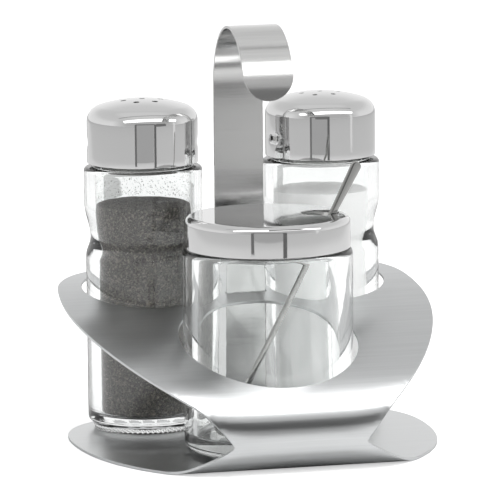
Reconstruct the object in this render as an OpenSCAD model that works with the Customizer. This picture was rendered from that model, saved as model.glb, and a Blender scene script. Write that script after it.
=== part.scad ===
// Salt, pepper and mustard set in a bent sheet stand with a crook handle.
// Millimetres. X runs right, Y runs back, Z runs up from the table.
// The jar axis is the working centre; every piece is shifted back to the middle of the box at the end.

/* [Stand] */
// Thickness of the bent steel sheet
sheet_t = 1; // [0.8:0.1:1.4]
// Full width of the top plate
top_w = 124.4; // [120:0.4:136]
// Full width of the base plate
base_w = 122.4; // [116:0.4:134]
// Width of the waist at the front fold
waist_w = 45; // [38:1:56]
// Outer radius of the front fold
fold_r = 12.4; // [11.4:0.2:13.6]
// Slope of the top plate where it leaves the fold
rise_angle = 25.2; // [23:0.2:27]
// How much the top plate levels out over its length
bow_angle = 20.9; // [16:0.1:23]
// Room left round each glass in the top plate
hole_gap = 1.6; // [1.2:0.1:2]
// Length over which the top plate levels out
bow_run = 110; // [104:1:116]
// Metal left outside each shaker hole
lobe_margin = 6.2; // [5.6:0.2:8]
// Metal left between the jar hole and the shaker holes
hole_web = 6; // [5:0.5:9]
// Room behind the shakers on the base plate
base_margin = 2.6; // [2:0.2:6]

/* [Handle] */
// Width of the handle strip
strip_w = 17; // [15:0.5:18]
// Thickness of the handle strip
strip_t = 1; // [0.8:0.1:1.4]
// Overall height of the handle
handle_h = 140.2; // [138:0.5:160]
// Outer radius of the crook
crook_r = 22; // [20:0.5:23]
// How far the tip runs below the middle of the crook
tip_drop = 0.8; // [0.4:0.1:2]
// Room between the jar hole and the handle strip
strip_room = 8.35; // [7.6:0.05:9]
// Length of the foot welded to the base plate
strip_foot = 14; // [10:1:18]

/* [Shakers] */
// Room between the two shakers
shaker_gap = 22; // [21:0.5:26]
// Diameter of the shaker body
shaker_d = 39.2; // [38:0.2:39.6]
// Diameter of the glass collar under the cap
collar_d = 40; // [38.6:0.2:40.2]
// How far the glass draws in at the waist
waist_in = 2.5; // [1.6:0.1:3.2]
// Height of the glass collar's upper edge above the table
collar_top = 90.4; // [86:0.2:94]
// Height of the glass collar
collar_h = 12.1; // [11:0.1:13]
// Height of the waist between body and collar
waist_h = 15.2; // [13:0.2:17]
// Wall of the shaker glass
glass_wall = 5.6; // [4.8:0.2:7]
// Depth of pepper above the inner floor
pepper_level = 70; // [45:1:74]
// Depth of salt above the inner floor
salt_level = 74; // [45:1:76]

/* [Caps] */
// How far the steel caps sit inside the glass collar
cap_step = 1.25; // [1:0.05:1.6]
// Height of the steel caps' side before the shoulder
cap_side = 14.2; // [12:0.2:17]
// Radius of the cap's shoulder
cap_shoulder = 5.4; // [4:0.2:6.4]
// Slope of the dome where it meets the shoulder
dome_slope = 17.6; // [14:0.2:20]
// Wall of the drawn steel caps and lid
shell_t = 0.6; // [0.5:0.05:0.8]
// Diameter of the pepper pour holes
pepper_hole = 2; // [1.6:0.1:2.4]
// Diameter of the salt pour holes
salt_hole = 1.6; // [1.4:0.1:2]
// Radius of the ring of pour holes
pour_ring = 6.4; // [5.6:0.2:8]

/* [Jar] */
// Diameter of the mustard jar
jar_d = 56.5; // [55:0.5:57.5]
// Height of the jar's shoulder above the table
jar_shoulder = 58; // [55:0.5:60]
// Wall of the jar
jar_wall = 3.5; // [2.8:0.1:4.2]
// How far the lid sits inside the jar's side
lid_step = 0.65; // [0.4:0.05:1]
// Height of the lid's lower edge above the shoulder
lid_rise = 10.4; // [9.4:0.2:12]
// Height of the lid
lid_h = 10.6; // [10.2:0.2:11.6]
// Rounding of the lid's upper edge
lid_round = 2.5; // [1.6:0.1:3]
// Diameter of the spoon hole in the lid
spoon_hole = 12.6; // [12:0.2:13]
// Distance of the spoon hole's middle from the lid's side
spoon_hole_edge = 9.6; // [9.2:0.1:10.4]

/* [Spoon] */
// Room between the bowl and the jar's inner wall
spoon_side = 2.7; // [2.4:0.05:3.6]
// Overall length of the spoon
spoon_l = 101; // [96:1:112]
// Width of the spoon's bowl
bowl_w = 10.4; // [9:0.2:11]
// Length of the spoon's bowl
bowl_l = 25; // [20:1:27]
// Width of the spoon's handle end
grip_w = 3.6; // [2.8:0.1:4.4]
// Length over which the handle end widens
grip_l = 23; // [18:1:26]
// Width of the spoon's stem
stem_w = 2; // [1.8:0.1:2.4]
// Thickness of the spoon
spoon_t = 1.2; // [1:0.1:1.5]

/* [Hidden] */

over = 2;
steps = 10;
quarter = 90;
turn = 180;

steel = [0.72, 0.73, 0.74];
bright = [0.82, 0.83, 0.85];
clear = [0.85, 0.9, 0.92];
white = [0.93, 0.93, 0.92];
peppery = [0.3, 0.29, 0.27];
plastic = [0.88, 0.88, 0.86];

slip = 0.3;
floor_z = sheet_t;

jar_r = jar_d/2;
jar_hole_r = jar_r+hole_gap;
body_r = shaker_d/2;
wide_r = max(shaker_d, collar_d)/2;
shaker_hole_r = wide_r+hole_gap-slip;
shaker_x = wide_r+shaker_gap/2;
shaker_y = sqrt(pow(jar_hole_r+shaker_hole_r+hole_web, 2)-shaker_x*shaker_x);

// Stand sheet: the fold, the bowed top plate and where both run.
fold_lead_share = 0.74;
fold_y = -(jar_hole_r+fold_lead_share*sheet_t);
fold_half = fold_r*(turn-rise_angle)/2*PI/turn;
bow_r = bow_run*turn/PI/bow_angle;
rise_y = fold_y-fold_r*sin(rise_angle);
rise_z = fold_r*(1+cos(rise_angle));
bow_cy = rise_y+bow_r*sin(rise_angle);
bow_cz = rise_z-bow_r*cos(rise_angle);

// Widest points, measured along the sheet from the middle of the fold.
top_side_share = 1.823;
base_side_share = 1.542;
top_side = top_side_share*shaker_y;
base_side = base_side_share*shaker_y;
start_share = 0.04;
top_pull_share = 0.56;
base_pull_share = 0.8;
top_cut_share = 0.3;
base_cut_share = 0.33;

// Pull of the curves that round the base and the lobes.
base_side_pull_share = 0.805;
base_back_pull_share = 0.66;
lobe_side_pull_share = 0.35;
lobe_join_share = 0.3;
valley_start_share = 0.0938;
valley_pull_share = 0.34;

lobe_shift = 2.5;
lobe_x = shaker_x+lobe_shift;
lobe_y = shaker_y-lobe_shift;
lobe_r = shaker_hole_r+lobe_margin;
lobe_side_ang = 10;
lobe_back_ang = 105;
plate_back = lobe_y+lobe_r;
valley_back = 10.5;
valley_y = shaker_y+valley_back;
base_back = shaker_y+body_r+base_margin-slip;

front_y = fold_y-fold_r;
mid_y = (front_y+plate_back)/2;
reach = plate_back-front_y;
plate_high = handle_h-rise_z;

strip_y = jar_hole_r+strip_room+strip_t/2;
slot_gap = 0.5;
weld_r = 2.5;
crook_y = strip_y+strip_t/2-crook_r;
crook_z = handle_h-crook_r;
tip_z = crook_z-tip_drop;

// Points of smooth curves.
function cub(a, b, c, d, t) = a*pow(1-t, 3)+3*b*pow(1-t, 2)*t+3*c*(1-t)*t*t+d*t*t*t;
function cub2(a, b, c, d, t) = [cub(a[0], b[0], c[0], d[0], t), cub(a[1], b[1], c[1], d[1], t)];
function arc(cx, cy, r, a0, a1, n) = [for (i = [0:n]) [cx+r*cos(a0+(a1-a0)*i/n), cy+r*sin(a0+(a1-a0)*i/n)]];
function swell(r0, z0, r1, z1, n) = [for (i = [1:n]) [r0+(r1-r0)*(1-cos(turn*i/n))/2, z0+(z1-z0)*i/n]];
function flip(pts) = [for (i = [len(pts)-1:-1:0]) [-pts[i][0], pts[i][1]]];

// Half width and run of the sheet's side, t from 0 at the fold to 1 at the widest point.
function side_x(half_w, t) = cub(waist_w/2, waist_w/2, half_w, half_w, t);
function side_s(far, pull, t) = cub(0, start_share*far, far-pull*far, far, t);
function fold_ang(s) = -rise_angle/2+s/fold_r*turn/PI;
function fold_py(s) = fold_y-fold_r*cos(fold_ang(s));
function fold_pz(s) = fold_r+fold_r*sin(fold_ang(s));
function bow_py(a) = bow_cy-bow_r*sin(rise_angle-a/bow_r*turn/PI);
function top_py(s) = s < fold_half ? fold_py(s) : bow_py(s-fold_half);
function base_py(s) = s < fold_half ? fold_py(-s) : fold_y+s-fold_half;
function top_pt(t) = [side_x(top_w/2, t), top_py(side_s(top_side, top_pull_share, t))];
function base_pt(t) = [side_x(base_w/2, t), base_py(side_s(base_side, base_pull_share, t))];
z_low = fold_pz(-side_s(base_side, base_pull_share, base_cut_share));
z_high = fold_pz(side_s(top_side, top_pull_share, top_cut_share));

side_steps = 16;
back_steps = 14;

module mirrored_outline(pts) {
    polygon(concat(pts, flip(pts)));
}

module base_outline() {
    far = base_pt(1);
    mirrored_outline(concat(
        [[base_pt(base_cut_share)[0], front_y-over]],
        [for (i = [0:side_steps]) base_pt(base_cut_share+(1-base_cut_share)*i/side_steps)],
        [for (i = [1:back_steps]) cub2(far, [far[0], far[1]+base_side_pull_share*(base_back-far[1])],
            [base_back_pull_share*far[0], base_back], [0, base_back], i/back_steps)]));
}

module top_outline() {
    far = top_pt(1);
    side = [lobe_x+lobe_r*cos(lobe_side_ang), lobe_y+lobe_r*sin(lobe_side_ang)];
    join = lobe_join_share*(side[1]-far[1]);
    back = [lobe_x+lobe_r*cos(lobe_back_ang), lobe_y+lobe_r*sin(lobe_back_ang)];
    union() {
        mirrored_outline(concat(
            [[top_pt(top_cut_share)[0], front_y-over]],
            [for (i = [0:side_steps]) top_pt(top_cut_share+(1-top_cut_share)*i/side_steps)],
            [for (i = [1:side_steps/4]) cub2(far, [far[0], far[1]+lobe_side_pull_share*(side[1]-far[1])],
                [side[0]+join*sin(lobe_side_ang), side[1]-join], side, i*4/side_steps)],
            [[lobe_x, lobe_y]],
            [for (i = [0:back_steps]) cub2(back, [(1-lobe_side_pull_share)*back[0], back[1]-valley_start_share*back[0]],
                [valley_pull_share*back[0], valley_y], [0, valley_y], i/back_steps)]));
        for (m = [-1, 1]) {
            translate([m*lobe_x, lobe_y]) circle(r = lobe_r, $fn = 96);
        }
    }
}

module fold_front() {
    mirrored_outline(concat(
        [for (i = [0:steps]) let (t = base_cut_share*(1-i/steps))
            [side_x(base_w/2, t), fold_pz(-side_s(base_side, base_pull_share, t))]],
        [for (i = [1:steps]) let (t = top_cut_share*i/steps)
            [side_x(top_w/2, t), fold_pz(side_s(top_side, top_pull_share, t))]]));
}

module ring_part(cy, cz, r, t, wedge) {
    translate([cy, cz]) intersection() {
        difference() {
            circle(r = r, $fn = 180);
            circle(r = r-t, $fn = 180);
        }
        polygon(wedge);
    }
}

bow_far_share = 1.06;
bow_far = bow_far_share*bow_r*asin((plate_back+over-rise_y)/bow_r)*PI/turn;
fold_steps = 36;
bow_steps = 24;

function fold_line(r) = [for (i = [0:fold_steps]) let (a = -quarter+(turn-rise_angle)*i/fold_steps)
    [fold_y-r*cos(a), fold_r+r*sin(a)]];
function bow_line(r) = [for (i = [1:bow_steps]) let (a = rise_angle-bow_far*i/bow_steps/bow_r*turn/PI)
    [bow_cy-r*sin(a), bow_cz+r*cos(a)]];

module sheet_side() {
    back = base_back+over;
    upper = concat(fold_line(fold_r), bow_line(bow_r));
    lower = concat(fold_line(fold_r-sheet_t), bow_line(bow_r-sheet_t));
    polygon(concat([[back, 0]], upper, [for (i = [len(lower)-1:-1:0]) lower[i]], [[back, sheet_t]]));
}

module along_x(w) {
    rotate([90, 0, 90]) translate([0, 0, -w/2]) linear_extrude(height = w) children();
}

module stand_sheet() {
    color(steel) translate([0, -mid_y, 0]) difference() {
        intersection() {
            along_x(top_w+base_w) sheet_side();
            union() {
                translate([0, 0, -over]) linear_extrude(height = z_low+over) base_outline();
                translate([0, plate_back, 0]) rotate([90, 0, 0])
                    linear_extrude(height = reach+over) fold_front();
                translate([0, 0, z_high]) linear_extrude(height = plate_high) top_outline();
            }
        }
        translate([0, 0, fold_r]) cylinder(h = plate_high, r = jar_hole_r, $fn = 96);
        for (m = [-1, 1]) {
            translate([m*shaker_x, shaker_y, fold_r]) cylinder(h = plate_high, r = shaker_hole_r, $fn = 96);
        }
        translate([-strip_w/2-slot_gap, strip_y-strip_t/2-slot_gap, fold_r])
            cube([strip_w+2*slot_gap, strip_t+2*slot_gap, plate_high]);
    }
}

// Handle: welded foot, upright and crook with a half-round tip.
module strip_side() {
    union() {
        translate([strip_y+strip_t/2+weld_r, floor_z]) square([strip_foot, strip_t]);
        ring_part(strip_y+strip_t/2+weld_r, floor_z+strip_t+weld_r, weld_r+strip_t, strip_t,
            [[0, 0], [0, -weld_r*4], [-weld_r*4, -weld_r*4], [-weld_r*4, 0]]);
        translate([strip_y-strip_t/2, floor_z+strip_t+weld_r])
            square([strip_t, crook_z-floor_z-strip_t-weld_r]);
        ring_part(crook_y, crook_z, crook_r, strip_t,
            [[-crook_r*2, 0], [crook_r*2, 0], [crook_r*2, crook_r*2], [-crook_r*2, crook_r*2]]);
        translate([crook_y-crook_r, tip_z]) square([strip_t, max(crook_z-tip_z, slip)]);
    }
}

module handle_strip() {
    color(bright) translate([0, -mid_y, 0]) intersection() {
        along_x(strip_w) strip_side();
        union() {
            translate([-strip_w, crook_y, 0]) cube([strip_w*2, reach, handle_h+over]);
            translate([0, crook_y, 0]) rotate([90, 0, 0]) linear_extrude(height = reach) union() {
                translate([0, tip_z+strip_w/2]) circle(r = strip_w/2, $fn = 72);
                translate([-strip_w/2, tip_z+strip_w/2]) square([strip_w, handle_h]);
            }
        }
    }
}

// Shaker glass: thick wall, waist and collar, with a plain neck hidden in the cap.
foot_rise = 0.6;
foot_ring = 3;
heel = 2;
glass_floor = 5;
mouth_share = 0.9;
waist_low_share = 0.404;
bore_waist_share = 0.62;
neck_h = 9.6;
bore_r = body_r-glass_wall;
collar_r = collar_d/2;
waist_r = body_r-waist_in;
body_top = collar_top-collar_h-waist_h;
waist_z = body_top+waist_low_share*waist_h;
neck_top = collar_top+neck_h;
mouth_r = mouth_share*bore_r;
waist_bore = bore_r-bore_waist_share*waist_in;
cap_r = collar_r-cap_step;
insert_gap = 0.3;
insert_wall = 0.75;
neck_r = cap_r-shell_t-insert_gap-insert_wall-slip;
inner_z = floor_z+glass_floor;
lip_soft = 1.2;

function shaker_line() = concat(
    [[0, floor_z+foot_rise], [body_r-heel-foot_ring, floor_z+foot_rise], [body_r-heel-foot_ring+foot_rise, floor_z]],
    arc(body_r-heel, floor_z+heel, heel, -quarter, 0, 3),
    [[body_r, body_top]],
    swell(body_r, body_top, waist_r, waist_z, 5),
    swell(waist_r, waist_z, collar_r, collar_top-collar_h, 6),
    arc(collar_r-lip_soft, collar_top-lip_soft, lip_soft, 0, quarter, 3),
    [[neck_r, collar_top], [neck_r, neck_top], [mouth_r, neck_top], [mouth_r, collar_top-collar_h/2]],
    bore_line());
function bore_line() = concat(
    swell(mouth_r, collar_top-collar_h, waist_bore, waist_z, 4),
    swell(waist_bore, waist_z, bore_r, body_top-collar_h/2, 4),
    arc(bore_r-heel, inner_z+heel, heel, 0, -quarter, 3),
    [[0, inner_z]]);

module turned() {
    rotate_extrude($fn = 96) children();
}

module at_shaker(m) {
    translate([m*shaker_x, shaker_y-mid_y, 0]) children();
}

module shaker_glass() {
    turned() polygon(shaker_line());
}

// Contents: the bore's shape, a slip smaller, level on top.
module contents(level) {
    intersection() {
        turned() polygon(concat([[0, inner_z]],
            arc(bore_r-heel-slip, inner_z+heel, heel, -quarter, 0, 3),
            [[bore_r-slip, body_top-collar_h/2]],
            swell(bore_r-slip, body_top-collar_h/2, waist_bore-slip, waist_z, 4),
            swell(waist_bore-slip, waist_z, mouth_r-slip, collar_top-collar_h, 4),
            [[mouth_r-slip, neck_top], [0, neck_top]]));
        translate([0, 0, inner_z]) cylinder(h = level, r = collar_r);
    }
}

// Caps: drawn steel shell with pour holes over a plastic ring that screws on the neck.
cap_gap = 1.1;
cap_z = collar_top+cap_gap;
shoulder_z = cap_z+cap_side;
shoulder_c = cap_r-cap_shoulder;
dome_start_r = shoulder_c+cap_shoulder*sin(dome_slope);
dome_start_z = shoulder_z+cap_shoulder*cos(dome_slope);
dome_r = dome_start_r/sin(dome_slope);
dome_z = dome_start_z-dome_r*cos(dome_slope);
cap_top = dome_z+dome_r;
insert_deck = 2.1;
insert_rim = 2;
insert_floor = neck_top+slip;
insert_top = insert_floor+insert_deck;
nick_w = 2.6;
nick_h = 0.9;
nick_share = 0.45;
nick_z = cap_z+nick_share*cap_side;

module cap_solid(t) {
    turned() union() {
        translate([0, cap_z]) square([cap_r-t, cap_side]);
        translate([0, shoulder_z]) intersection() {
            translate([shoulder_c, 0]) circle(r = cap_shoulder-t, $fn = 72);
            square([cap_r, cap_shoulder]);
        }
        translate([0, shoulder_z]) square([shoulder_c, (cap_shoulder-t)*cos(dome_slope)]);
        intersection() {
            translate([0, dome_z]) circle(r = dome_r-t, $fn = 180);
            translate([0, shoulder_z]) square([(dome_r-t)*sin(dome_slope), cap_shoulder*2]);
        }
    }
}

module cap_shell(count, hole) {
    difference() {
        cap_solid(0);
        translate([0, 0, -slip]) cap_solid(shell_t);
        translate([0, 0, -slip*2]) cap_solid(shell_t);
        for (i = [0:count-1]) {
            rotate([0, 0, 360*i/count]) translate([pour_ring, 0, shoulder_z])
                cylinder(h = cap_shoulder*2, r = hole/2, $fn = 24);
        }
        translate([0, 0, shoulder_z]) cylinder(h = cap_shoulder*2, r = hole/2, $fn = 24);
        translate([-cap_r-over, -nick_w/2, nick_z]) cube([2*cap_r+2*over, nick_w, nick_h]);
    }
}

module cap_insert() {
    turned() polygon([[neck_r+slip, cap_z+slip], [cap_r-shell_t-insert_gap, cap_z+slip],
        [cap_r-shell_t-insert_gap, shoulder_z-slip], [cap_r-shell_t-insert_gap-insert_rim, insert_top],
        [mouth_r-insert_rim, insert_top], [mouth_r-insert_rim, insert_floor], [neck_r+slip, insert_floor]]);
}

module pepper_glass() {
    color(clear) at_shaker(-1) shaker_glass();
}

module salt_glass() {
    color(clear) at_shaker(1) shaker_glass();
}

module pepper_fill() {
    color(peppery) at_shaker(-1) contents(pepper_level);
}

module salt_fill() {
    color(white) at_shaker(1) contents(salt_level);
}

module pepper_cap_shell() {
    color(bright) at_shaker(-1) cap_shell(6, pepper_hole);
}

module salt_cap_shell() {
    color(bright) at_shaker(1) cap_shell(6, salt_hole);
}

module pepper_cap_insert() {
    color(plastic) at_shaker(-1) cap_insert();
}

module salt_cap_insert() {
    color(plastic) at_shaker(1) cap_insert();
}

// Jar: thick glass with a rounded shoulder and a plain neck inside the lid.
jar_bore_r = jar_r-jar_wall;
lid_r = jar_r-lid_step;
lid_z = jar_shoulder+lid_rise;
lid_top = lid_z+lid_h;
spoon_hole_x = lid_r-spoon_hole_edge;
jar_heel = 3;
jar_inner_round = 1;
jar_floor = floor_z+glass_floor;
ring_wall = 1.1;
jar_neck_r = lid_r-shell_t-slip-ring_wall-slip;
jar_mouth_in = 1.8;
jar_mouth_r = jar_bore_r-jar_mouth_in;
jar_top = lid_top-shell_t-ring_wall-2*slip;
lid_gap = 0.4;
jar_ease = lid_z-lid_gap;

function jar_line() = concat(
    [[0, floor_z+foot_rise], [jar_r-jar_heel-foot_ring, floor_z+foot_rise], [jar_r-jar_heel-foot_ring+foot_rise, floor_z]],
    arc(jar_r-jar_heel, floor_z+jar_heel, jar_heel, -quarter, 0, 4),
    [[jar_r, jar_shoulder]],
    [for (i = [1:6]) [jar_neck_r+(jar_r-jar_neck_r)*cos(quarter*i/6), jar_shoulder+(jar_ease-jar_shoulder)*sin(quarter*i/6)]],
    [[jar_neck_r, jar_top], [jar_mouth_r, jar_top], [jar_mouth_r, lid_z]],
    swell(jar_mouth_r, lid_z, jar_bore_r, jar_shoulder-jar_heel, 4),
    arc(jar_bore_r-jar_inner_round, jar_floor+jar_inner_round, jar_inner_round, 0, -quarter, 4),
    [[0, jar_floor]]);

module jar_glass() {
    color(clear) translate([0, -mid_y, 0]) turned() polygon(jar_line());
}

module lid_solid(t) {
    turned() union() {
        translate([0, lid_z]) square([lid_r-t, lid_h-lid_round]);
        translate([0, lid_z]) square([lid_r-lid_round, lid_h-t]);
        translate([lid_r-lid_round, lid_top-lid_round]) circle(r = lid_round-t, $fn = 48);
    }
}

module jar_lid_shell() {
    color(bright) translate([0, -mid_y, 0]) difference() {
        lid_solid(0);
        lid_solid(shell_t);
        translate([0, 0, lid_z-over]) cylinder(h = over*2, r = lid_r-shell_t, $fn = 96);
        translate([spoon_hole_x, 0, lid_z]) cylinder(h = lid_h*2, r = spoon_hole/2, $fn = 48);
    }
}

module jar_lid_insert() {
    color(plastic) translate([0, -mid_y, 0]) difference() {
        turned() polygon([[jar_neck_r+slip, lid_z+slip], [lid_r-shell_t-slip, lid_z+slip],
            [lid_r-shell_t-slip, lid_top-lid_round], [lid_r-lid_round, lid_top-shell_t-slip],
            [jar_mouth_r-ring_wall, lid_top-shell_t-slip], [jar_mouth_r-ring_wall, jar_top+slip],
            [jar_neck_r+slip, jar_top+slip]]);
        translate([spoon_hole_x, 0, lid_z]) cylinder(h = lid_h*2, r = spoon_hole/2+slip, $fn = 48);
    }
}

// Spoon: flat tapered stem leaning through the lid's hole, dished oval bowl below.
spoon_front_share = 0.24;
spoon_pass_share = 0.278;
bowl_dish_share = 1.04;
bowl_neck_share = 0.9;
bowl_taper_share = 0.12;
spoon_y = -spoon_front_share*spoon_hole;
spoon_pass_x = spoon_hole_x+spoon_pass_share*spoon_hole;
spoon_low = jar_floor+2*slip;
spoon_low_x = -(jar_bore_r-bowl_w/2-spoon_side);
spoon_lean = atan((spoon_pass_x-spoon_low_x)/(lid_top-spoon_low));
bowl_dish = bowl_dish_share*bowl_l;
bowl_deep = bowl_dish-sqrt(bowl_dish*bowl_dish-bowl_l*bowl_l/4);

module spoon_outline() {
    union() {
        mirrored_outline([[0, bowl_neck_share*bowl_l], [stem_w/2, bowl_neck_share*bowl_l],
            [stem_w/2, spoon_l-grip_l], [grip_w/2, spoon_l-grip_w/2]]);
        translate([0, spoon_l-grip_w/2]) circle(r = grip_w/2, $fn = 36);
    }
}

module bowl_outline() {
    polygon([for (i = [0:35]) [bowl_w/2*cos(10*i)*(1-bowl_taper_share*sin(10*i)), bowl_l/2+bowl_l/2*sin(10*i)]]);
}

module spoon() {
    color(bright) translate([spoon_low_x, spoon_y-mid_y, spoon_low]) rotate([0, spoon_lean, 0])
        union() {
            translate([0, spoon_t/2, 0]) rotate([90, 0, 0]) linear_extrude(height = spoon_t) spoon_outline();
            intersection() {
                translate([0, bowl_dish, 0]) rotate([90, 0, 0]) linear_extrude(height = 2*bowl_dish) bowl_outline();
                translate([0, bowl_dish+spoon_t/2-bowl_deep, bowl_l/2]) difference() {
                    sphere(r = bowl_dish, $fn = 96);
                    sphere(r = bowl_dish-spoon_t, $fn = 96);
                }
                translate([-bowl_w, -bowl_w, -over]) cube([2*bowl_w, 2*bowl_w, bowl_l+2*over]);
            }
        }
}

stand_sheet();
handle_strip();
pepper_glass();
pepper_fill();
pepper_cap_shell();
pepper_cap_insert();
salt_glass();
salt_fill();
salt_cap_shell();
salt_cap_insert();
jar_glass();
jar_lid_shell();
jar_lid_insert();
spoon();
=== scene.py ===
import math
import random

import bpy
from mathutils import Matrix, Vector
from mathutils.geometry import delaunay_2d_cdt


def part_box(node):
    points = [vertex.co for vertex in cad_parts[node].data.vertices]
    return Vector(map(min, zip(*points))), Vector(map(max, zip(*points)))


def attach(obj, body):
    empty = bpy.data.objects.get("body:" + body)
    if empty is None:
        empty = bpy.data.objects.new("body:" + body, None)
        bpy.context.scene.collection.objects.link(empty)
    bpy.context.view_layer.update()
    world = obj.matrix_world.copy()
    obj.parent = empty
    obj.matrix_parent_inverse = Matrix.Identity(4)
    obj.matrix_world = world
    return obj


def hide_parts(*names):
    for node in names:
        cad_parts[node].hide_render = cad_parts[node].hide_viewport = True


bl_info = {
    "name": "Cruet set",
    "version": (1, 0, 0),
    "blender": (4, 5, 0),
    "location": "View3D > Sidebar > Cruet set",
    "description": "Dresses a salt, pepper and mustard set in a bent steel stand",
    "category": "Object",
}

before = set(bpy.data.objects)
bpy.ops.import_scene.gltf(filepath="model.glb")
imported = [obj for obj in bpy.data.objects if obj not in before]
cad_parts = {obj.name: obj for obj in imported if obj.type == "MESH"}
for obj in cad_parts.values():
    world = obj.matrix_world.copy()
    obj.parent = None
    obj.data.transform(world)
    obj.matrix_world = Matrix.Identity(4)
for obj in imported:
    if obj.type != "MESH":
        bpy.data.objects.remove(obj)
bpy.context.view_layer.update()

MM = 0.001
FULL = 2*math.pi
TINY = 0.0001*MM
SMALL = 0.02*MM
NEAR = 0.05*MM
HAIR = 1e-9
SHARP_TURN = math.radians(40)


# Places read from the frame.

def middle(node):
    low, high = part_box(node)
    return (low+high)/2


def half_width(node):
    low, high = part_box(node)
    return (high.x-low.x)/2


JAR_AXIS = Vector((middle("jar_glass").x, middle("jar_glass").y, 0))
PEPPER_AXIS = Vector((middle("pepper_glass").x, middle("pepper_glass").y, 0))
SALT_AXIS = Vector((middle("salt_glass").x, middle("salt_glass").y, 0))
SHEET_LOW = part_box("stand_sheet")[0]
STRIP_LOW, STRIP_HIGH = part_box("handle_strip")
GLASS_LOW, GLASS_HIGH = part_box("pepper_glass")
CAP_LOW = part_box("pepper_cap_shell")[0]
JAR_LOW, JAR_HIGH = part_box("jar_glass")
LID_LOW, LID_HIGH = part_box("jar_lid_shell")
PEPPER_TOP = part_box("pepper_fill")[1].z
SALT_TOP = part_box("salt_fill")[1].z


def length(title, note, value):
    return bpy.props.FloatProperty(name=title, description=note, default=value*MM, unit="LENGTH",
                                   subtype="DISTANCE", precision=5)


def angle(title, note, value):
    return bpy.props.FloatProperty(name=title, description=note, default=math.radians(value),
                                   unit="ROTATION", subtype="ANGLE")


def tint(title, note, value):
    return bpy.props.FloatVectorProperty(name=title, description=note, default=value, size=3,
                                         min=0, max=1, subtype="COLOR")


class StandSizes(bpy.types.PropertyGroup):
    """Sizes of the bent sheet stand and its crook handle."""
    sheet_t: length("Sheet", "Thickness of the bent sheet", 1)
    waist_w: length("Waist", "Width of the waist at the fold", 45)
    base_w: length("Base width", "Full width of the base plate", 122.4)
    fold_r: length("Fold radius", "Outer radius of the front fold", 12.4)
    rise: angle("Rise", "Slope of the top plate where it leaves the fold", 25.2)
    bow: angle("Bow", "How much the top plate levels out", 20.9)
    bow_run: length("Bow run", "Length over which the top plate levels out", 110)
    hole_gap: length("Jar hole gap", "Room left round the jar", 1.6)
    shaker_gap: length("Shaker hole gap", "Room left round the shaker's collar", 1.3)
    lobe_margin: length("Lobe margin", "Metal left outside each shaker hole", 6.13)
    lobe_shift: length("Lobe shift", "How far each lobe sits off its hole", 2.5)
    valley: length("Valley", "Back edge between the lobes, behind the shaker axes", 10.5)
    base_margin: length("Base margin", "Base plate behind the shakers", 2.3)
    roll: angle("Rolled edge", "How far the sheet leans at the cut edge of the fold", 14)
    roll_w: length("Rolled width", "Width of the rolled edge", 4)
    soft: angle("Soft bend", "How softly the fold runs out into the top plate", 9)
    slot_gap: length("Slot gap", "Room left round the handle strip", 0.5)
    edge: length("Edge", "Rounding of the sheet's cut edges", 0.16)
    strip_t: length("Strip", "Thickness of the handle strip", 1)
    strip_w: length("Strip width", "Width of the handle strip", 17)
    crook_r: length("Crook radius", "Outer radius of the crook", 22)
    bend_r: length("Foot bend", "Inner radius of the bend at the handle's foot", 2.5)
    foot: length("Foot", "Length of the handle's foot", 14)
    tip_drop: length("Tip drop", "Straight length at the crook's end", 0.8)


class ShakerSizes(bpy.types.PropertyGroup):
    """Sizes of the shaker glasses and their caps."""
    body_r: length("Body radius", "Radius of the glass body", 19.6)
    waist_in: length("Waist depth", "How far the glass draws in", 1.6)
    collar_top: length("Collar top", "Height of the collar's upper edge", 90.4)
    collar_h: length("Collar", "Height of the glass collar", 12.1)
    waist_h: length("Waist height", "Height between body and collar", 18.4)
    bore_r: length("Bore", "Inner radius of the glass", 15.4)
    inner_z: length("Inner floor", "Height of the inner floor", 6)
    cap_side: length("Cap side", "Height of the cap's side", 14.2)
    shoulder: length("Cap shoulder", "Radius of the cap's shoulder", 5.4)
    dome_slope: angle("Dome slope", "Slope of the dome at the shoulder", 17.6)
    heap: length("Heap", "How far the pepper is heaped above its level", 2.6)
    bore_draft: length("Bore draft", "How much wider the bore is at the collar", 0.9)
    beads: bpy.props.IntProperty(name="Beads", description="Beads round the foot of the glass", default=64)
    nick_w: length("Nick", "Width of the pressed slot in the cap", 4.2)
    nick_h: length("Nick height", "Height of the pressed slot in the cap", 1.4)
    pour_ring: length("Pour ring", "Radius of the ring of pour holes", 6.4)
    pepper_hole: length("Pepper hole", "Diameter of the pepper holes", 2)
    salt_hole: length("Salt hole", "Diameter of the salt holes", 1.6)
    pepper_turn: angle("Pepper nick", "Where the pepper cap's nicks stand, from +X", 166)
    salt_turn: angle("Salt nick", "Where the salt cap's nicks stand, from +X", 197)
    shell_t: length("Shell", "Thickness of the drawn steel", 0.6)


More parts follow.
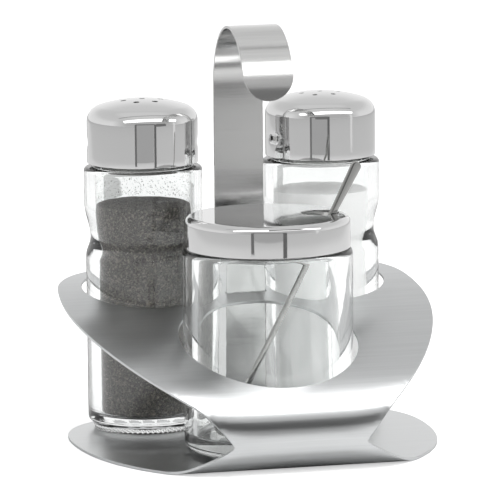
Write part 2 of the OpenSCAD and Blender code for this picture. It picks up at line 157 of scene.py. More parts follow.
class JarSizes(bpy.types.PropertyGroup):
    """Sizes of the mustard jar, its lid and its spoon."""
    shoulder: length("Shoulder", "Height of the jar's shoulder", 66.2)
    bore_r: length("Bore", "Inner radius of the jar", 24.75)
    lid_round: length("Lid rounding", "Rounding of the lid's upper edge", 2.5)
    spoon_hole: length("Spoon hole", "Diameter of the spoon hole", 12.6)
    hole_x: length("Hole place", "Spoon hole to the side of the lid's middle", 18)
    spoon_l: length("Spoon", "Overall length of the spoon", 101)
    bowl_w: length("Bowl width", "Width of the spoon's bowl", 10.4)
    bowl_l: length("Bowl length", "Length of the spoon's bowl", 19)
    grip_w: length("Grip", "Width of the handle end", 3.6)
    grip_l: length("Grip length", "Length over which the end widens", 23)
    stem_w: length("Stem", "Width of the stem", 2)
    lean: angle("Lean", "How far the spoon leans to the side", 27.9117)
    toe_x: length("Toe, side", "End of the bowl to the side of the jar's middle", -16.85)
    toe_y: length("Toe, depth", "End of the bowl in front of the jar's middle", -3.024)
    toe_z: length("Toe, height", "Height of the end of the bowl", 6.6)
    spoon_t: length("Spoon sheet", "Thickness of the spoon", 1.2)


class Finishes(bpy.types.PropertyGroup):
    """Colours of the steels, glasses, grains, plastic and floor."""
    satin: tint("Satin steel", "Colour of the brushed steel", (0.592, 0.602, 0.606))
    strip: tint("Satin strip", "Colour of the brushed handle strip", (0.65, 0.65, 0.645))
    polish: tint("Polished steel", "Colour of the polished steel", (0.68, 0.68, 0.68))
    spoon: tint("Spoon steel", "Colour of the spoon", (0.4, 0.4, 0.39))
    pepper_dark: tint("Pepper, dark", "Dark grains of the pepper", (0.048, 0.046, 0.041))
    pepper_light: tint("Pepper, light", "Light grains of the pepper", (0.25, 0.228, 0.195))
    salt: tint("Salt", "Colour of the salt", (0.96, 0.96, 0.955))
    plastic: tint("Plastic", "Colour of the hidden plastic", (0.85, 0.85, 0.83))
    floor: tint("Floor", "Colour of the floor", (0.8, 0.8, 0.8))


# Curves in a plane.

def cubic(a, b, c, d, t):
    w = (1-t)**3, 3*(1-t)**2*t, 3*(1-t)*t*t, t**3
    return tuple(w[0]*p+w[1]*q+w[2]*r+w[3]*s for p, q, r, s in zip(a, b, c, d))


def arc_points(cx, cy, radius, start, end, count):
    turns = [math.radians(start+(end-start)*i/count) for i in range(count+1)]
    return [(cx+radius*math.cos(a), cy+radius*math.sin(a)) for a in turns]


def even_points(points, gap):
    """The same line with a point at least every gap."""
    out = []
    for (x0, y0), (x1, y1) in zip(points, points[1:]+points[:1]):
        count = max(1, math.ceil(math.hypot(x1-x0, y1-y0)/gap))
        out += [(x0+(x1-x0)*i/count, y0+(y1-y0)*i/count) for i in range(count)]
    return out


def filleted(corners, count=6):
    """A line through corners (x, y, radius), each rounded to its radius."""
    out = []
    for i, (x, y, radius) in enumerate(corners):
        if radius == 0 or i in (0, len(corners)-1):
            out.append((x, y))
            continue
        here = Vector((x, y))
        before = (Vector(corners[i-1][:2])-here).normalized()
        after = (Vector(corners[i+1][:2])-here).normalized()
        half = before.angle(after)/2
        reach = radius/math.tan(half)
        centre = here+(before+after).normalized()*radius/math.sin(half)
        start, end = here+before*reach-centre, here+after*reach-centre
        sweep = start.angle_signed(end)
        for k in range(count+1):
            turn = Matrix.Rotation(-sweep*k/count, 2)
            out.append(tuple(centre+turn @ start))
    return out


def swell(x0, y0, x1, y1, count):
    """An S-shaped line from one radius to another."""
    return [(x0+(x1-x0)*(1-math.cos(math.pi*i/count))/2, y0+(y1-y0)*i/count) for i in range(1, count+1)]


def inside(loop, x, y):
    hit = False
    for (x0, y0), (x1, y1) in zip(loop, loop[1:]+loop[:1]):
        if (y0 > y) != (y1 > y) and x < (x1-x0)*(y-y0)/(y1-y0)+x0:
            hit = not hit
    return hit


# Meshes with their own exact normals.

class Builder:
    """Gathers faces with a normal for each corner and makes one smooth object."""

    def __init__(self):
        self.points = []
        self.faces = []
        self.normals = []
        self.spots = []

    def add_points(self, points):
        first = len(self.points)
        self.points += [tuple(p) for p in points]
        return first

    def add_face(self, corners, normals, spots=None):
        self.faces.append(tuple(corners))
        self.normals += [tuple(n) for n in normals]
        self.spots += spots or [(self.points[c][0], self.points[c][2]) for c in corners]

    def build(self, name, body, slot, material, *stands_for):
        mesh = bpy.data.meshes.new(name)
        mesh.from_pydata(self.points, [], self.faces)
        mesh.polygons.foreach_set("use_smooth", [True]*len(self.faces))
        sheet = mesh.uv_layers.new(name="grain")
        sheet.data.foreach_set("uv", [v for spot in self.spots for v in spot])
        mesh.normals_split_custom_set(self.normals)
        mesh.materials.append(material)
        piece = bpy.data.objects.new(name, mesh)
        bpy.context.scene.collection.objects.link(piece)
        if mesh.validate():
            raise RuntimeError(name+" has a broken face")
        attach(piece, body)
        if stands_for:
            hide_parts(*stands_for)
        return piece


def add_plate(builder, outline, holes, place, thick, edge, gap):
    """A thin plate over a curved surface. place(u, v) gives its point, normal and two directions."""
    loops = [outline]+holes
    inset = []
    for loop in loops:
        count = len(loop)
        area = sum(loop[i-1][0]*loop[i][1]-loop[i][0]*loop[i-1][1] for i in range(count))
        side = 1 if area > 0 else -1
        if loop is not outline:
            side = -side
        moved = []
        for i, (x, y) in enumerate(loop):
            ahead, behind = loop[(i+1) % count], loop[i-1]
            run = Vector((ahead[0]-behind[0], ahead[1]-behind[1])).normalized()
            out = Vector((run.y, -run.x))*side
            moved.append(((x, y), (x-out.x*edge, y-out.y*edge), out))
        inset.append(moved)
    flat, borders = [], []
    for moved in inset:
        first = len(flat)
        flat += [Vector(m[1]) for m in moved]
        borders += [(first+i, first+(i+1) % len(moved)) for i in range(len(moved))]
    rims = [[m[1] for m in moved] for moved in inset]
    xs = [p[0] for p in rims[0]]
    ys = [p[1] for p in rims[0]]
    across = math.ceil((max(xs)-min(xs))/gap)
    along = math.ceil((max(ys)-min(ys))/gap)
    for j in range(1, along):
        y = min(ys)+(max(ys)-min(ys))*j/along
        for i in range(1, across):
            x = min(xs)+(max(xs)-min(xs))*(i+0.5*(j % 2))/across
            if inside(rims[0], x, y) and not any(inside(r, x, y) for r in rims[1:]):
                flat.append(Vector((x, y)))
    points, _, triangles, _, _, _ = delaunay_2d_cdt(flat, borders, [], 0, TINY)
    kept = []
    for t in triangles:
        x = sum(points[k].x for k in t)/3
        y = sum(points[k].y for k in t)/3
        if inside(rims[0], x, y) and not any(inside(r, x, y) for r in rims[1:]):
            kept.append(t)
    at = [place(p.x, p.y) for p in points]
    upper = builder.add_points([a[0] for a in at])
    lower = builder.add_points([a[0]-a[1]*thick for a in at])
    for t in kept:
        spots = [(points[k].x, points[k].y) for k in t]
        builder.add_face([upper+k for k in t], [at[k][1] for k in t], spots)
        back = tuple(reversed(t))
        builder.add_face([lower+k for k in back], [-at[k][1] for k in back], spots[::-1])
    for moved in inset:
        rows, ways = [], []
        for (x, y), _, out in moved:
            point, normal, du, dv = place(x, y)
            side = (du*out.x+dv*out.y).normalized()
            ways.append((normal, side))
            near = place(x-out.x*edge, y-out.y*edge)
            rows.append((near[0], point-normal*edge, point-normal*(thick-edge), near[0]-near[1]*thick))
        count = len(rows)
        first = builder.add_points([p for row in rows for p in row])
        for i in range(count):
            j = (i+1) % count
            for k in range(3):
                a, b = first+4*i, first+4*j
                corners = [a+k, a+k+1, b+k+1, b+k]
                shades = [(ways[i], k), (ways[i], k+1), (ways[j], k+1), (ways[j], k)]
                normals = [(w[0], w[1], w[1], -w[0])[m] for w, m in shades]
                spots = [moved[i][0], moved[i][0], moved[j][0], moved[j][0]]
                facing = (Vector(builder.points[corners[1]])-Vector(builder.points[corners[0]])).cross(
                    Vector(builder.points[corners[3]])-Vector(builder.points[corners[0]]))
                if facing.dot(normals[0]+normals[1]) < 0:
                    corners, normals, spots = corners[::-1], normals[::-1], spots[::-1]
                builder.add_face(corners, normals, spots)


def add_turned(builder, line, centre, turns, push=None, slot=None):
    """Turns a line of (radius, height) round an upright axis, the inside on the left of its run.

    push(r, z, turn) moves a point in or out. slot(z0, z1, turn0, turn1) is true where a cell is left open.
    """
    last = len(line)-1
    across = []
    for (r0, z0), (r1, z1) in zip(line, line[1:]):
        run = Vector((r1-r0, z1-z0))
        run = run.normalized() if run.length > 0 else Vector((1, 0))
        across.append(Vector((run.y, -run.x)))

    def flat_normal(i, segment):
        other = segment-1 if i == segment else segment+1
        if other < 0 or other >= last or across[segment].angle(across[other], 0) > SHARP_TURN:
            return across[segment]
        return (across[segment]+across[other]).normalized()

    def full_normal(i, segment, turn):
        n = flat_normal(i, segment)
        out = Vector((math.cos(turn), math.sin(turn), 0))
        normal = out*n.x+Vector((0, 0, n.y))
        r, z = line[i]
        if push and r > 0 and n.x > 0.2:
            up = (push(r, z+SMALL, turn)-push(r, z-SMALL, turn))/(2*SMALL)
            along = (push(r, z, turn+SMALL/r)-push(r, z, turn-SMALL/r))/(2*SMALL)
            normal -= Vector((0, 0, up))+Vector((-out.y, out.x, 0))*along
        return normal.normalized()

    steps = len(turns)
    rings = []
    for r, z in line:
        if r < TINY:
            rings.append([builder.add_points([(centre.x, centre.y, z)])]*steps)
            continue
        wide = [r+(push(r, z, a) if push else 0) for a in turns]
        first = builder.add_points([(centre.x+w*math.cos(a), centre.y+w*math.sin(a), z)
                                    for w, a in zip(wide, turns)])
        rings.append([first+k for k in range(steps)])
    open_cells = {}
    for i in range(last):
        for k in range(steps):
            m = (k+1) % steps
            a, b = turns[k], turns[m]+(FULL if m == 0 else 0)
            if slot and slot(line[i][1], line[i+1][1], a, b):
                open_cells.setdefault(i, []).append(k)
                continue
            corners = [rings[i][k], rings[i][m], rings[i+1][m], rings[i+1][k]]
            normals = [full_normal(i, i, a), full_normal(i, i, b),
                       full_normal(i+1, i, b), full_normal(i+1, i, a)]
            spots = [(a, line[i][1]), (b, line[i][1]), (b, line[i+1][1]), (a, line[i+1][1])]
            keep = [q for q in range(4) if corners[q] != corners[q-1]]
            builder.add_face(*([values[q] for q in keep] for values in (corners, normals, spots)))
    if open_cells:
        close_slot(builder, rings, turns, open_cells)


def close_slot(builder, rings, turns, open_cells):
    """The four walls of each slot between the inner and the outer skin."""
    one, two = sorted(open_cells)
    edges = [(rings[one], rings[two+1], -1), (rings[one+1], rings[two], 1)]
    for inner, outer, side in edges:
        for k in open_cells[one]:
            corners = [inner[k], inner[k+1], outer[k+1], outer[k]]
            builder.add_face(corners[::side], [(0, 0, -side)]*4)
    for k in open_cells[one]:
        for step, side in ((k, 1), (k+1, -1)):
            if (step-1 if side > 0 else step) in open_cells[one]:
                continue
            way = (-side*math.sin(turns[step]), side*math.cos(turns[step]), 0)
            corners = [rings[one][step], rings[one+1][step], rings[two][step], rings[two+1][step]]
            builder.add_face(corners[::side], [way]*4)


def even_turns(count):
    return [FULL*k/count for k in range(count)]


# Shader parts that several finishes share.

LINE_DARK_SHARE = 0.84
LINE_LIGHT_SHARE = 1.14
PATCH_SHARE = 0.97
SALT_DARK_SHARE = 0.94
LINE_DEPTH = 0.02*MM
GLASS_DEPTH = 0.6*MM
GRAIN_DEPTH = 0.4*MM
GLASS_IOR = 1.5


def new_group(name, inputs, outputs):
    group = bpy.data.node_groups.new(name, "ShaderNodeTree")
    for title, value in inputs:
        group.interface.new_socket(title, in_out="INPUT", socket_type="NodeSocketFloat").default_value = value
    for title, kind in outputs:
        group.interface.new_socket(title, in_out="OUTPUT", socket_type=kind)
    return group, group.nodes.new("NodeGroupInput"), group.nodes.new("NodeGroupOutput")


def node(tree, kind, **settings):
    made = tree.nodes.new(kind)
    for key, value in settings.items():
        if key in made.inputs:
            made.inputs[key].default_value = value
        else:
            setattr(made, key, value)
    return made


def feed(tree, value, socket):
    """Links an output to a socket, or sets a plain value on it."""
    if isinstance(value, bpy.types.NodeSocket):
        tree.links.new(value, socket)
    else:
        socket.default_value = value


def maths(tree, operation, a, b=0.0):
    made = node(tree, "ShaderNodeMath", operation=operation)
    feed(tree, a, made.inputs[0])
    feed(tree, b, made.inputs[1])
    return made.outputs[0]


def blend(tree, factor, a, b, way="MIX"):
    made = node(tree, "ShaderNodeMix", data_type="RGBA", blend_type=way)
    for key, value in (("Factor", factor), ("A", a), ("B", b)):
        feed(tree, value, made.inputs[key])
    return made.outputs["Result"]


def brush_group():
    """Fine lines that run along X, as a mask and as a height."""
    group, start, end = new_group("Brush lines", [("Fine", 2600), ("Long", 24)],
                                  [("Lines", "NodeSocketFloat"), ("Height", "NodeSocketFloat")])
    place = node(group, "ShaderNodeTexCoord").outputs["Object"]
    apart = node(group, "ShaderNodeSeparateXYZ")
    group.links.new(place, apart.inputs[0])
    sums = []
    for share_of in (1.0, 0.23):
        joined = node(group, "ShaderNodeCombineXYZ")
        along = maths(group, "MULTIPLY", apart.outputs["X"], start.outputs["Long"])
        group.links.new(along, joined.inputs["X"])
        for axis in ("Y", "Z"):
            fine = maths(group, "MULTIPLY", start.outputs["Fine"], share_of)
            group.links.new(maths(group, "MULTIPLY", apart.outputs[axis], fine), joined.inputs[axis])
        noise = node(group, "ShaderNodeTexNoise", Scale=1.0, Detail=2.0, Roughness=0.6)
        group.links.new(joined.outputs[0], noise.inputs["Vector"])
        sums.append(noise.outputs["Fac"])
    lines = maths(group, "MULTIPLY", maths(group, "ADD", sums[0], sums[1]), 0.5)
    group.links.new(lines, end.inputs["Lines"])
    group.links.new(lines, end.inputs["Height"])


def smudge_group():
    """Soft uneven patches for polished and clear surfaces."""
    group, start, end = new_group("Soft smudges", [("Scale", 60)],
                                  [("Patches", "NodeSocketFloat"), ("Height", "NodeSocketFloat")])
    place = node(group, "ShaderNodeTexCoord").outputs["Object"]
    noise = node(group, "ShaderNodeTexNoise", Detail=3.0, Roughness=0.55)
    group.links.new(place, noise.inputs["Vector"])
    group.links.new(start.outputs["Scale"], noise.inputs["Scale"])
    group.links.new(noise.outputs["Fac"], end.inputs["Patches"])
    group.links.new(noise.outputs["Fac"], end.inputs["Height"])


def grain_group():
    """Small loose grains, as a mask and as a height."""
    group, start, end = new_group("Loose grains", [("Scale", 1400), ("Sparse", 1)],
                                  [("Grains", "NodeSocketFloat"), ("Height", "NodeSocketFloat")])
    place = node(group, "ShaderNodeTexCoord").outputs["Object"]
    cells = node(group, "ShaderNodeTexVoronoi")
    group.links.new(place, cells.inputs["Vector"])
    group.links.new(start.outputs["Scale"], cells.inputs["Scale"])
    apart = node(group, "ShaderNodeSeparateXYZ")
    group.links.new(cells.outputs["Color"], apart.inputs[0])
    sparse = maths(group, "POWER", apart.outputs["X"], start.outputs["Sparse"])
    group.links.new(sparse, end.inputs["Grains"])
    group.links.new(cells.outputs["Distance"], end.inputs["Height"])


def material(name, **settings):
    made = bpy.data.materials.new(name)
    made.use_nodes = True
    shader = made.node_tree.nodes["Principled BSDF"]
    for key, value in settings.items():
        shader.inputs[key.replace("_", " ")].default_value = value
    return made, made.node_tree, shader


def add_bump(tree, shader, height, strength, distance):
    bump = node(tree, "ShaderNodeBump", Strength=strength, Distance=distance)
    tree.links.new(height, bump.inputs["Height"])
    tree.links.new(bump.outputs["Normal"], shader.inputs["Normal"])


def rough_between(tree, shader, mask, low, high):
    spread = node(tree, "ShaderNodeMapRange", **{"To Min": low, "To Max": high})
    tree.links.new(mask, spread.inputs["Value"])
    tree.links.new(spread.outputs["Result"], shader.inputs["Roughness"])


def group_node(tree, name, **settings):
    made = tree.nodes.new("ShaderNodeGroup")
    made.node_tree = bpy.data.node_groups[name]
    for key, value in settings.items():
        made.inputs[key].default_value = value
    return made


def colour_between(tree, shader, mask, dark, light):
    tree.links.new(blend(tree, mask, (*dark, 1), (*light, 1)), shader.inputs["Base Color"])


def satin_steel(name, colour, low, high, depth):
    _, tree, shader = material(name, Metallic=1.0, Anisotropic=0.6)
    lines = group_node(tree, "Brush lines")
    dark = [c*LINE_DARK_SHARE for c in colour]
    light = [min(1, c*LINE_LIGHT_SHARE) for c in colour]
    colour_between(tree, shader, lines.outputs["Lines"], dark, light)
    rough_between(tree, shader, lines.outputs["Lines"], low, high)
    add_bump(tree, shader, lines.outputs["Height"], depth, LINE_DEPTH)
    way = node(tree, "ShaderNodeTangent", direction_type="UV_MAP", uv_map="grain")
    tree.links.new(way.outputs[0], shader.inputs["Tangent"])


def polished_steel(name, colour, low, high):
    _, tree, shader = material(name, Metallic=1.0)
    smudge = group_node(tree, "Soft smudges", Scale=90)
    colour_between(tree, shader, smudge.outputs["Patches"], [c*PATCH_SHARE for c in colour], colour)
    rough_between(tree, shader, smudge.outputs["Patches"], low, high)


def clear_glass(name, depth):
    _, tree, shader = material(name, Transmission_Weight=1.0, IOR=GLASS_IOR, Metallic=0.0)
    shader.inputs["Base Color"].default_value = (0.985, 0.995, 0.992, 1)
    smudge = group_node(tree, "Soft smudges", Scale=70)
    rough_between(tree, shader, smudge.outputs["Patches"], 0.0, 0.02)
    add_bump(tree, shader, smudge.outputs["Height"], depth, GLASS_DEPTH)
    path = node(tree, "ShaderNodeLightPath")
    clear = node(tree, "ShaderNodeBsdfTransparent")
    mix = node(tree, "ShaderNodeMixShader")
    tree.links.new(path.outputs["Is Shadow Ray"], mix.inputs[0])
    tree.links.new(shader.outputs[0], mix.inputs[1])
    tree.links.new(clear.outputs[0], mix.inputs[2])
    tree.links.new(mix.outputs[0], tree.nodes["Material Output"].inputs["Surface"])


# A glow above nought is painted light: an emission that brightens the grains though they are no lamp.
def grainy(name, dark, light, scale, sparse, depth, rough, glow=0.0):
    _, tree, shader = material(name, Roughness=rough, Emission_Strength=glow)
    grains = group_node(tree, "Loose grains", Scale=scale, Sparse=sparse)
    colour_between(tree, shader, grains.outputs["Grains"], dark, light)
    add_bump(tree, shader, grains.outputs["Height"], depth, GRAIN_DEPTH)


# Stand. The shares are given; the side shares are of the way from jar to shaker.

PAST_LEVEL = 0.2
BASE_SIDE_SHARE = 1.542
TOP_SIDE_SHARE = 1.823
BASE_BACK_SHARES = (0.805, 0.66)
BASE_WAIST_SHARES = (0.04, 0.2)
TOP_WAIST_SHARES = (0.04, 0.44)
SIDE_SHARES = (0.35, 0.3)
VALLEY_SHARES = (0.65, 0.34)
VALLEY_DROP_SHARE = 0.0938
LOBE_TURNS = (10, 105)
RIM_STEP = 1.2*MM
PLATE_STEP = 1.3*MM
STRIP_STEP = 1*MM
SOFT_LEAD = 5*MM
SOFT_RUN = 17*MM
SOFT_SKEW = 0.75
ROLL_LEAD = 4*MM
ROLL_RUN = 14*MM


def walk(start, heading, parts):
    """A line that bends by parts of (length, turn); gives point, normal and direction at a run."""
    marks = []
    y, z, way = start[0], start[1], math.radians(heading)
    for reach, turn in parts:
        marks.append((y, z, way, reach, math.radians(turn)))
        y, z, way = step_on(y, z, way, reach, math.radians(turn), reach)
    total = sum(p[0] for p in parts)

    def at(run):
        run = min(max(run, 0), total)
        for y0, z0, way0, reach, turn in marks:
            if run <= reach+HAIR:
                break
            run -= reach
        y1, z1, way1 = step_on(y0, z0, way0, reach, turn, min(run, reach))
        return y1, z1, way1
    return at, total


def step_on(y, z, way, reach, turn, run):
    if abs(turn) < HAIR:
        return y+run*math.cos(way), z+run*math.sin(way), way
    radius = reach/turn
    new = way+turn*run/reach
    return (y-radius*math.sin(way)+radius*math.sin(new),
            z+radius*math.cos(way)-radius*math.cos(new), new)


def bent_place(at):
    def place(u, v):
        y, z, way = at(v)
        normal = Vector((0, -math.sin(way), math.cos(way)))
        return Vector((u, y, z)), normal, Vector((1, 0, 0)), Vector((0, math.cos(way), math.sin(way)))
    return place


def mirrored(side):
    """side runs up the right half, from the middle to the middle."""
    return side+[(-x, y) for x, y in side[-2:0:-1]]


class BentLine:
    """The bent line of the sheet, from the back of its base round the fold to the top plate.

    Depths are measured from the jar's axis.
    """

    def __init__(self, s, shaker_r):
        turned = math.pi-s.rise
        levelled = s.rise+PAST_LEVEL
        self.rise = s.rise
        self.base_back = PEPPER_AXIS.y-JAR_AXIS.y+shaker_r+s.base_margin
        self.fold_y = SHEET_LOW.y+s.fold_r-JAR_AXIS.y
        self.base_len = self.base_back-self.fold_y
        self.fold_len = s.fold_r*turned
        self.fold_mid = self.base_len+self.fold_len/2
        self.fold_end = self.base_len+self.fold_len
        self.bow_r = s.bow_run/s.bow
        self.bow_y = self.fold_y+(self.bow_r-s.fold_r)*math.sin(s.rise)
        parts = [(self.base_len, 0), (self.fold_len, -math.degrees(turned)),
                 (self.bow_r*levelled, -math.degrees(levelled))]
        self.at, _ = walk((self.base_back+JAR_AXIS.y, 0), 180, parts)

    def run_of_base(self, y):
        return self.base_back-y

    def run_of_top(self, y):
        return self.fold_end+self.bow_r*(self.rise-math.asin((self.bow_y-y)/self.bow_r))

    def depth_of_top(self, run):
        return self.bow_y-self.bow_r*math.sin(self.rise-(run-self.fold_end)/self.bow_r)


def waist_curve(half_waist, half_wide, side, shares, count=60):
    """From the waist out to the widest point, as (across, along)."""
    steer = ((half_waist, 0), (half_waist, shares[0]*side), (half_wide, shares[1]*side), (half_wide, side))
    return [cubic(*steer, i/count) for i in range(count+1)]


def sheet_outline(s, line):
    """The cut outline of the flat sheet, as (across, along the bent line)."""
    shaker = PEPPER_AXIS.y-JAR_AXIS.y
    lobe_x, lobe_y = abs(PEPPER_AXIS.x)+s.lobe_shift, shaker-s.lobe_shift
    lobe_r = half_width("pepper_glass")+s.shaker_gap+s.lobe_margin
    half_waist, half_base, half_top = s.waist_w/2, s.base_w/2, half_width("stand_sheet")
    base_side, top_side = BASE_SIDE_SHARE*shaker, TOP_SIDE_SHARE*shaker
    far_base = line.fold_y+base_side-line.fold_len/2
    steer = ((half_base, far_base),
             (half_base, far_base+BASE_BACK_SHARES[0]*(line.base_back-far_base)),
             (BASE_BACK_SHARES[1]*half_base, line.base_back), (0, line.base_back))
    base = [cubic(*steer, i/36) for i in range(36, 0, -1)]
    side = [(x, line.run_of_base(y)) for x, y in base]
    side += [(x, line.fold_mid-run)
             for x, run in waist_curve(half_waist, half_base, base_side, BASE_WAIST_SHARES)[:0:-1]]
    side += [(x, line.fold_mid+run)
             for x, run in waist_curve(half_waist, half_top, top_side, TOP_WAIST_SHARES)]
    far_top = line.depth_of_top(line.fold_mid+top_side)
    lobe = arc_points(lobe_x, lobe_y, lobe_r, *LOBE_TURNS, 44)
    climb = lobe[0][1]-far_top
    pull = SIDE_SHARES[1]*climb
    steer = ((half_top, far_top), (half_top, far_top+SIDE_SHARES[0]*climb),
             (lobe[0][0]+pull*math.sin(math.radians(LOBE_TURNS[0])), lobe[0][1]-pull), lobe[0])
    top = [cubic(*steer, i/8) for i in range(1, 9)]+lobe[1:]
    back_x, back_y = lobe[-1]
    valley = shaker+s.valley
    steer = ((back_x, back_y), (VALLEY_SHARES[0]*back_x, back_y-VALLEY_DROP_SHARE*back_x),
             (VALLEY_SHARES[1]*back_x, valley), (0, valley))
    top += [cubic(*steer, i/20) for i in range(1, 21)]
    side += [(max(x, 0), line.run_of_top(y)) for x, y in top]
    return mirrored(side)


def make_sheet(s, shaker_r, steel):
    line = BentLine(s, shaker_r)

    def hole(x, y, radius, count):
        ring = arc_points(x, y, radius, 360, 0, count)[:-1]
        return [(u, line.run_of_top(v)) for u, v in ring]

    outline = even_points(sheet_outline(s, line), RIM_STEP)
    holes = [hole(0, 0, half_width("jar_glass")+s.hole_gap, 150)]
    for axis in (PEPPER_AXIS, SALT_AXIS):
        holes.append(hole(axis.x, axis.y-JAR_AXIS.y, half_width("pepper_glass")+s.shaker_gap, 110))
    upright = upright_y(s)-JAR_AXIS.y
    half, deep = s.strip_w/2+s.slot_gap, s.strip_t/2+s.slot_gap
    corners = [(-half, upright-deep), (-half, upright+deep), (half, upright+deep), (half, upright-deep)]
    holes.append(even_points([(x, line.run_of_top(y)) for x, y in corners], RIM_STEP))
    place = soft_bend(bent_place(line.at), line.fold_end-SOFT_LEAD, line.fold_end+SOFT_RUN, s.soft)
    place = rolled_edge(place, outline, line.base_len-ROLL_LEAD, line.fold_end+ROLL_RUN, s.roll, s.roll_w)
    builder = Builder()
    add_plate(builder, outline, holes, place, s.sheet_t, s.edge, PLATE_STEP)
    return builder.build("bent_sheet", "stand", "sheet_steel", steel, "stand_sheet")


def soft_bend(place, start, end, most):
    """Lets the normals lean forward where the fold runs out into the plate."""
    def leaning(u, v):
        point, normal, du, dv = place(u, v)
        if start < v < end:
            amount = most*math.sin(math.pi*((v-start)/(end-start))**SOFT_SKEW)
            normal = (normal-dv*math.tan(amount)).normalized()
        return point, normal, du, dv
    return leaning


def rolled_edge(place, outline, start, end, most, wide):
    """Lets the normals lean out near the cut edge between two runs, as on a sheet bent over a bar."""
    near = [p for p in outline if start < p[1] < end]

    def leaning(u, v):
        point, normal, du, dv = place(u, v)
        if start < v < end:
            x, y = min(near, key=lambda p: (p[0]-u)**2+(p[1]-v)**2)
            off = Vector((u-x, v-y))
            amount = most*math.exp(-off.length/wide)*math.sin(math.pi*(v-start)/(end-start))
            if off.length > NEAR:
                way = -off.normalized()
                normal = (normal+(du*way.x+dv*way.y)*math.tan(amount)).normalized()
        return point, normal, du, dv
    return leaning


def upright_y(s):
    """Middle of the handle's upright."""
    return STRIP_LOW.y+2*s.crook_r-s.strip_t/2


def make_strip(s, steel):
    bend = s.bend_r+s.strip_t
    low = SHEET_LOW.z+s.sheet_t
    crook_z = STRIP_HIGH.z-s.crook_r
    parts = [(s.foot, 0), (bend*math.pi/2, -90), (crook_z-low-bend, 0),
             ((s.crook_r-s.strip_t)*math.pi, 180), (s.tip_drop, 0)]
    at, total = walk((upright_y(s)-s.strip_t/2+bend+s.foot, low), 180, parts)
    half = s.strip_w/2
    outline = [(-half, 0), (half, 0)]+arc_points(0, total-half, half, 0, 180, 40)
    builder = Builder()
    add_plate(builder, even_points(outline, STRIP_STEP), [], bent_place(at), s.strip_t, s.edge, RIM_STEP)
    return builder.build("crook_handle", "stand", "strip_steel", steel, "handle_strip")


# Shakers.

WAIST_SHARE = 0.355
MOUTH_SHARE = 0.9
NICK_SHARE = 0.48
NECK_R = 16.8*MM
FOOT_R = 14.6*MM
FOOT_HOLLOW = 0.6*MM
FOOT_RING = 0.8*MM
FOOT_INSET = 2.2*MM
BAND_INSET = 1.5*MM
BAND_H = 2*MM
BODY_START = 3.6*MM
BODY_ROUND = 1.6*MM
FINE_ROUND = 0.4*MM
LIP_ROUND = 0.5*MM
NECK_ROUND = 0.3*MM
FLOOR_ROUND = 2*MM
COLLAR_ROUND = 1.4*MM
MOUTH_ROUND = 0.8*MM
MOUTH_RISE = 2*MM
BEAD_START = 0.2*MM
BEAD_H = 1.8*MM
BEAD_REACH = 2.6*MM
BEAD_DEPTH = 0.22*MM
FILL_GAP = 0.3*MM
FILL_DRAFT_SHARE = 0.9
FILL_CROWN = 0.8*MM
DUST_COUNT = 1500
DUST_SMALLEST = 0.07*MM
DUST_SPREAD = 0.13*MM
DUST_FLAT_SHARE = 0.4
DISC_INSET = 2*MM
SHELL_EDGE = 0.12*MM
RIM_ROUND = 0.45*MM
NICK_DIP = 0.55*MM
NICK_REACH = 3.2
NICK_SPREAD = 1.5
NICK_WAVE = 0.35
NICK_OPEN_SHARE = 0.6
DOME_STEP = 0.9*MM


def glass_line(s):
    """Half section of a shaker glass, from under its foot round the mouth to its inner floor."""
    low = GLASS_LOW.z
    collar_low = s.collar_top-s.collar_h
    body_top = collar_low-s.waist_h
    waist_z = body_top+WAIST_SHARE*s.waist_h
    waist_r = s.body_r-s.waist_in
    collar_r = half_width("pepper_glass")
    mouth_r = MOUTH_SHARE*s.bore_r
    mouth_low = s.collar_top+MOUTH_RISE
    wide_r = s.bore_r+s.bore_draft
    line = filleted([(0, low+FOOT_HOLLOW, 0), (FOOT_R, low+FOOT_HOLLOW, FOOT_HOLLOW),
                     (FOOT_R+FOOT_RING, low, FINE_ROUND), (s.body_r-FOOT_INSET, low, LIP_ROUND),
                     (s.body_r-BAND_INSET, low+BAND_H, FINE_ROUND),
                     (s.body_r, low+BODY_START, BODY_ROUND), (s.body_r, body_top, 0)])
    line += swell(s.body_r, body_top, waist_r, waist_z, 14)
    line += swell(waist_r, waist_z, collar_r, collar_low, 18)
    line += filleted([(collar_r, collar_low, 0), (collar_r, s.collar_top, COLLAR_ROUND),
                      (NECK_R, s.collar_top, NECK_ROUND), (NECK_R, GLASS_HIGH.z, MOUTH_ROUND),
                      (mouth_r, GLASS_HIGH.z, MOUTH_ROUND), (mouth_r, mouth_low, 0)])[1:]
    line += swell(mouth_r, mouth_low, wide_r, s.collar_top-MOUTH_RISE, 10)
    line += swell(wide_r, collar_low, s.bore_r, body_top, 14)
    line += filleted([(s.bore_r, body_top, 0), (s.bore_r, s.inner_z, FLOOR_ROUND), (0, s.inner_z, 0)])[1:]
    return line


def foot_beads(s):
    """A band of small beads round the foot of the glass."""
    def push(r, z, turn):
        rise = (z-GLASS_LOW.z-BEAD_START)/BEAD_H
        if r < s.body_r-BEAD_REACH or not 0 < rise < 1:
            return 0
        return BEAD_DEPTH*math.sin(math.pi*rise)*(math.cos(s.beads*turn)-1)
    return push


def make_shaker_glass(s, side, axis, glass):
    builder = Builder()
    add_turned(builder, glass_line(s), axis, even_turns(6*s.beads), push=foot_beads(s))
    return builder.build(side+"_shaker_glass", side+"_shaker", "shaker_glass", glass, side+"_glass")


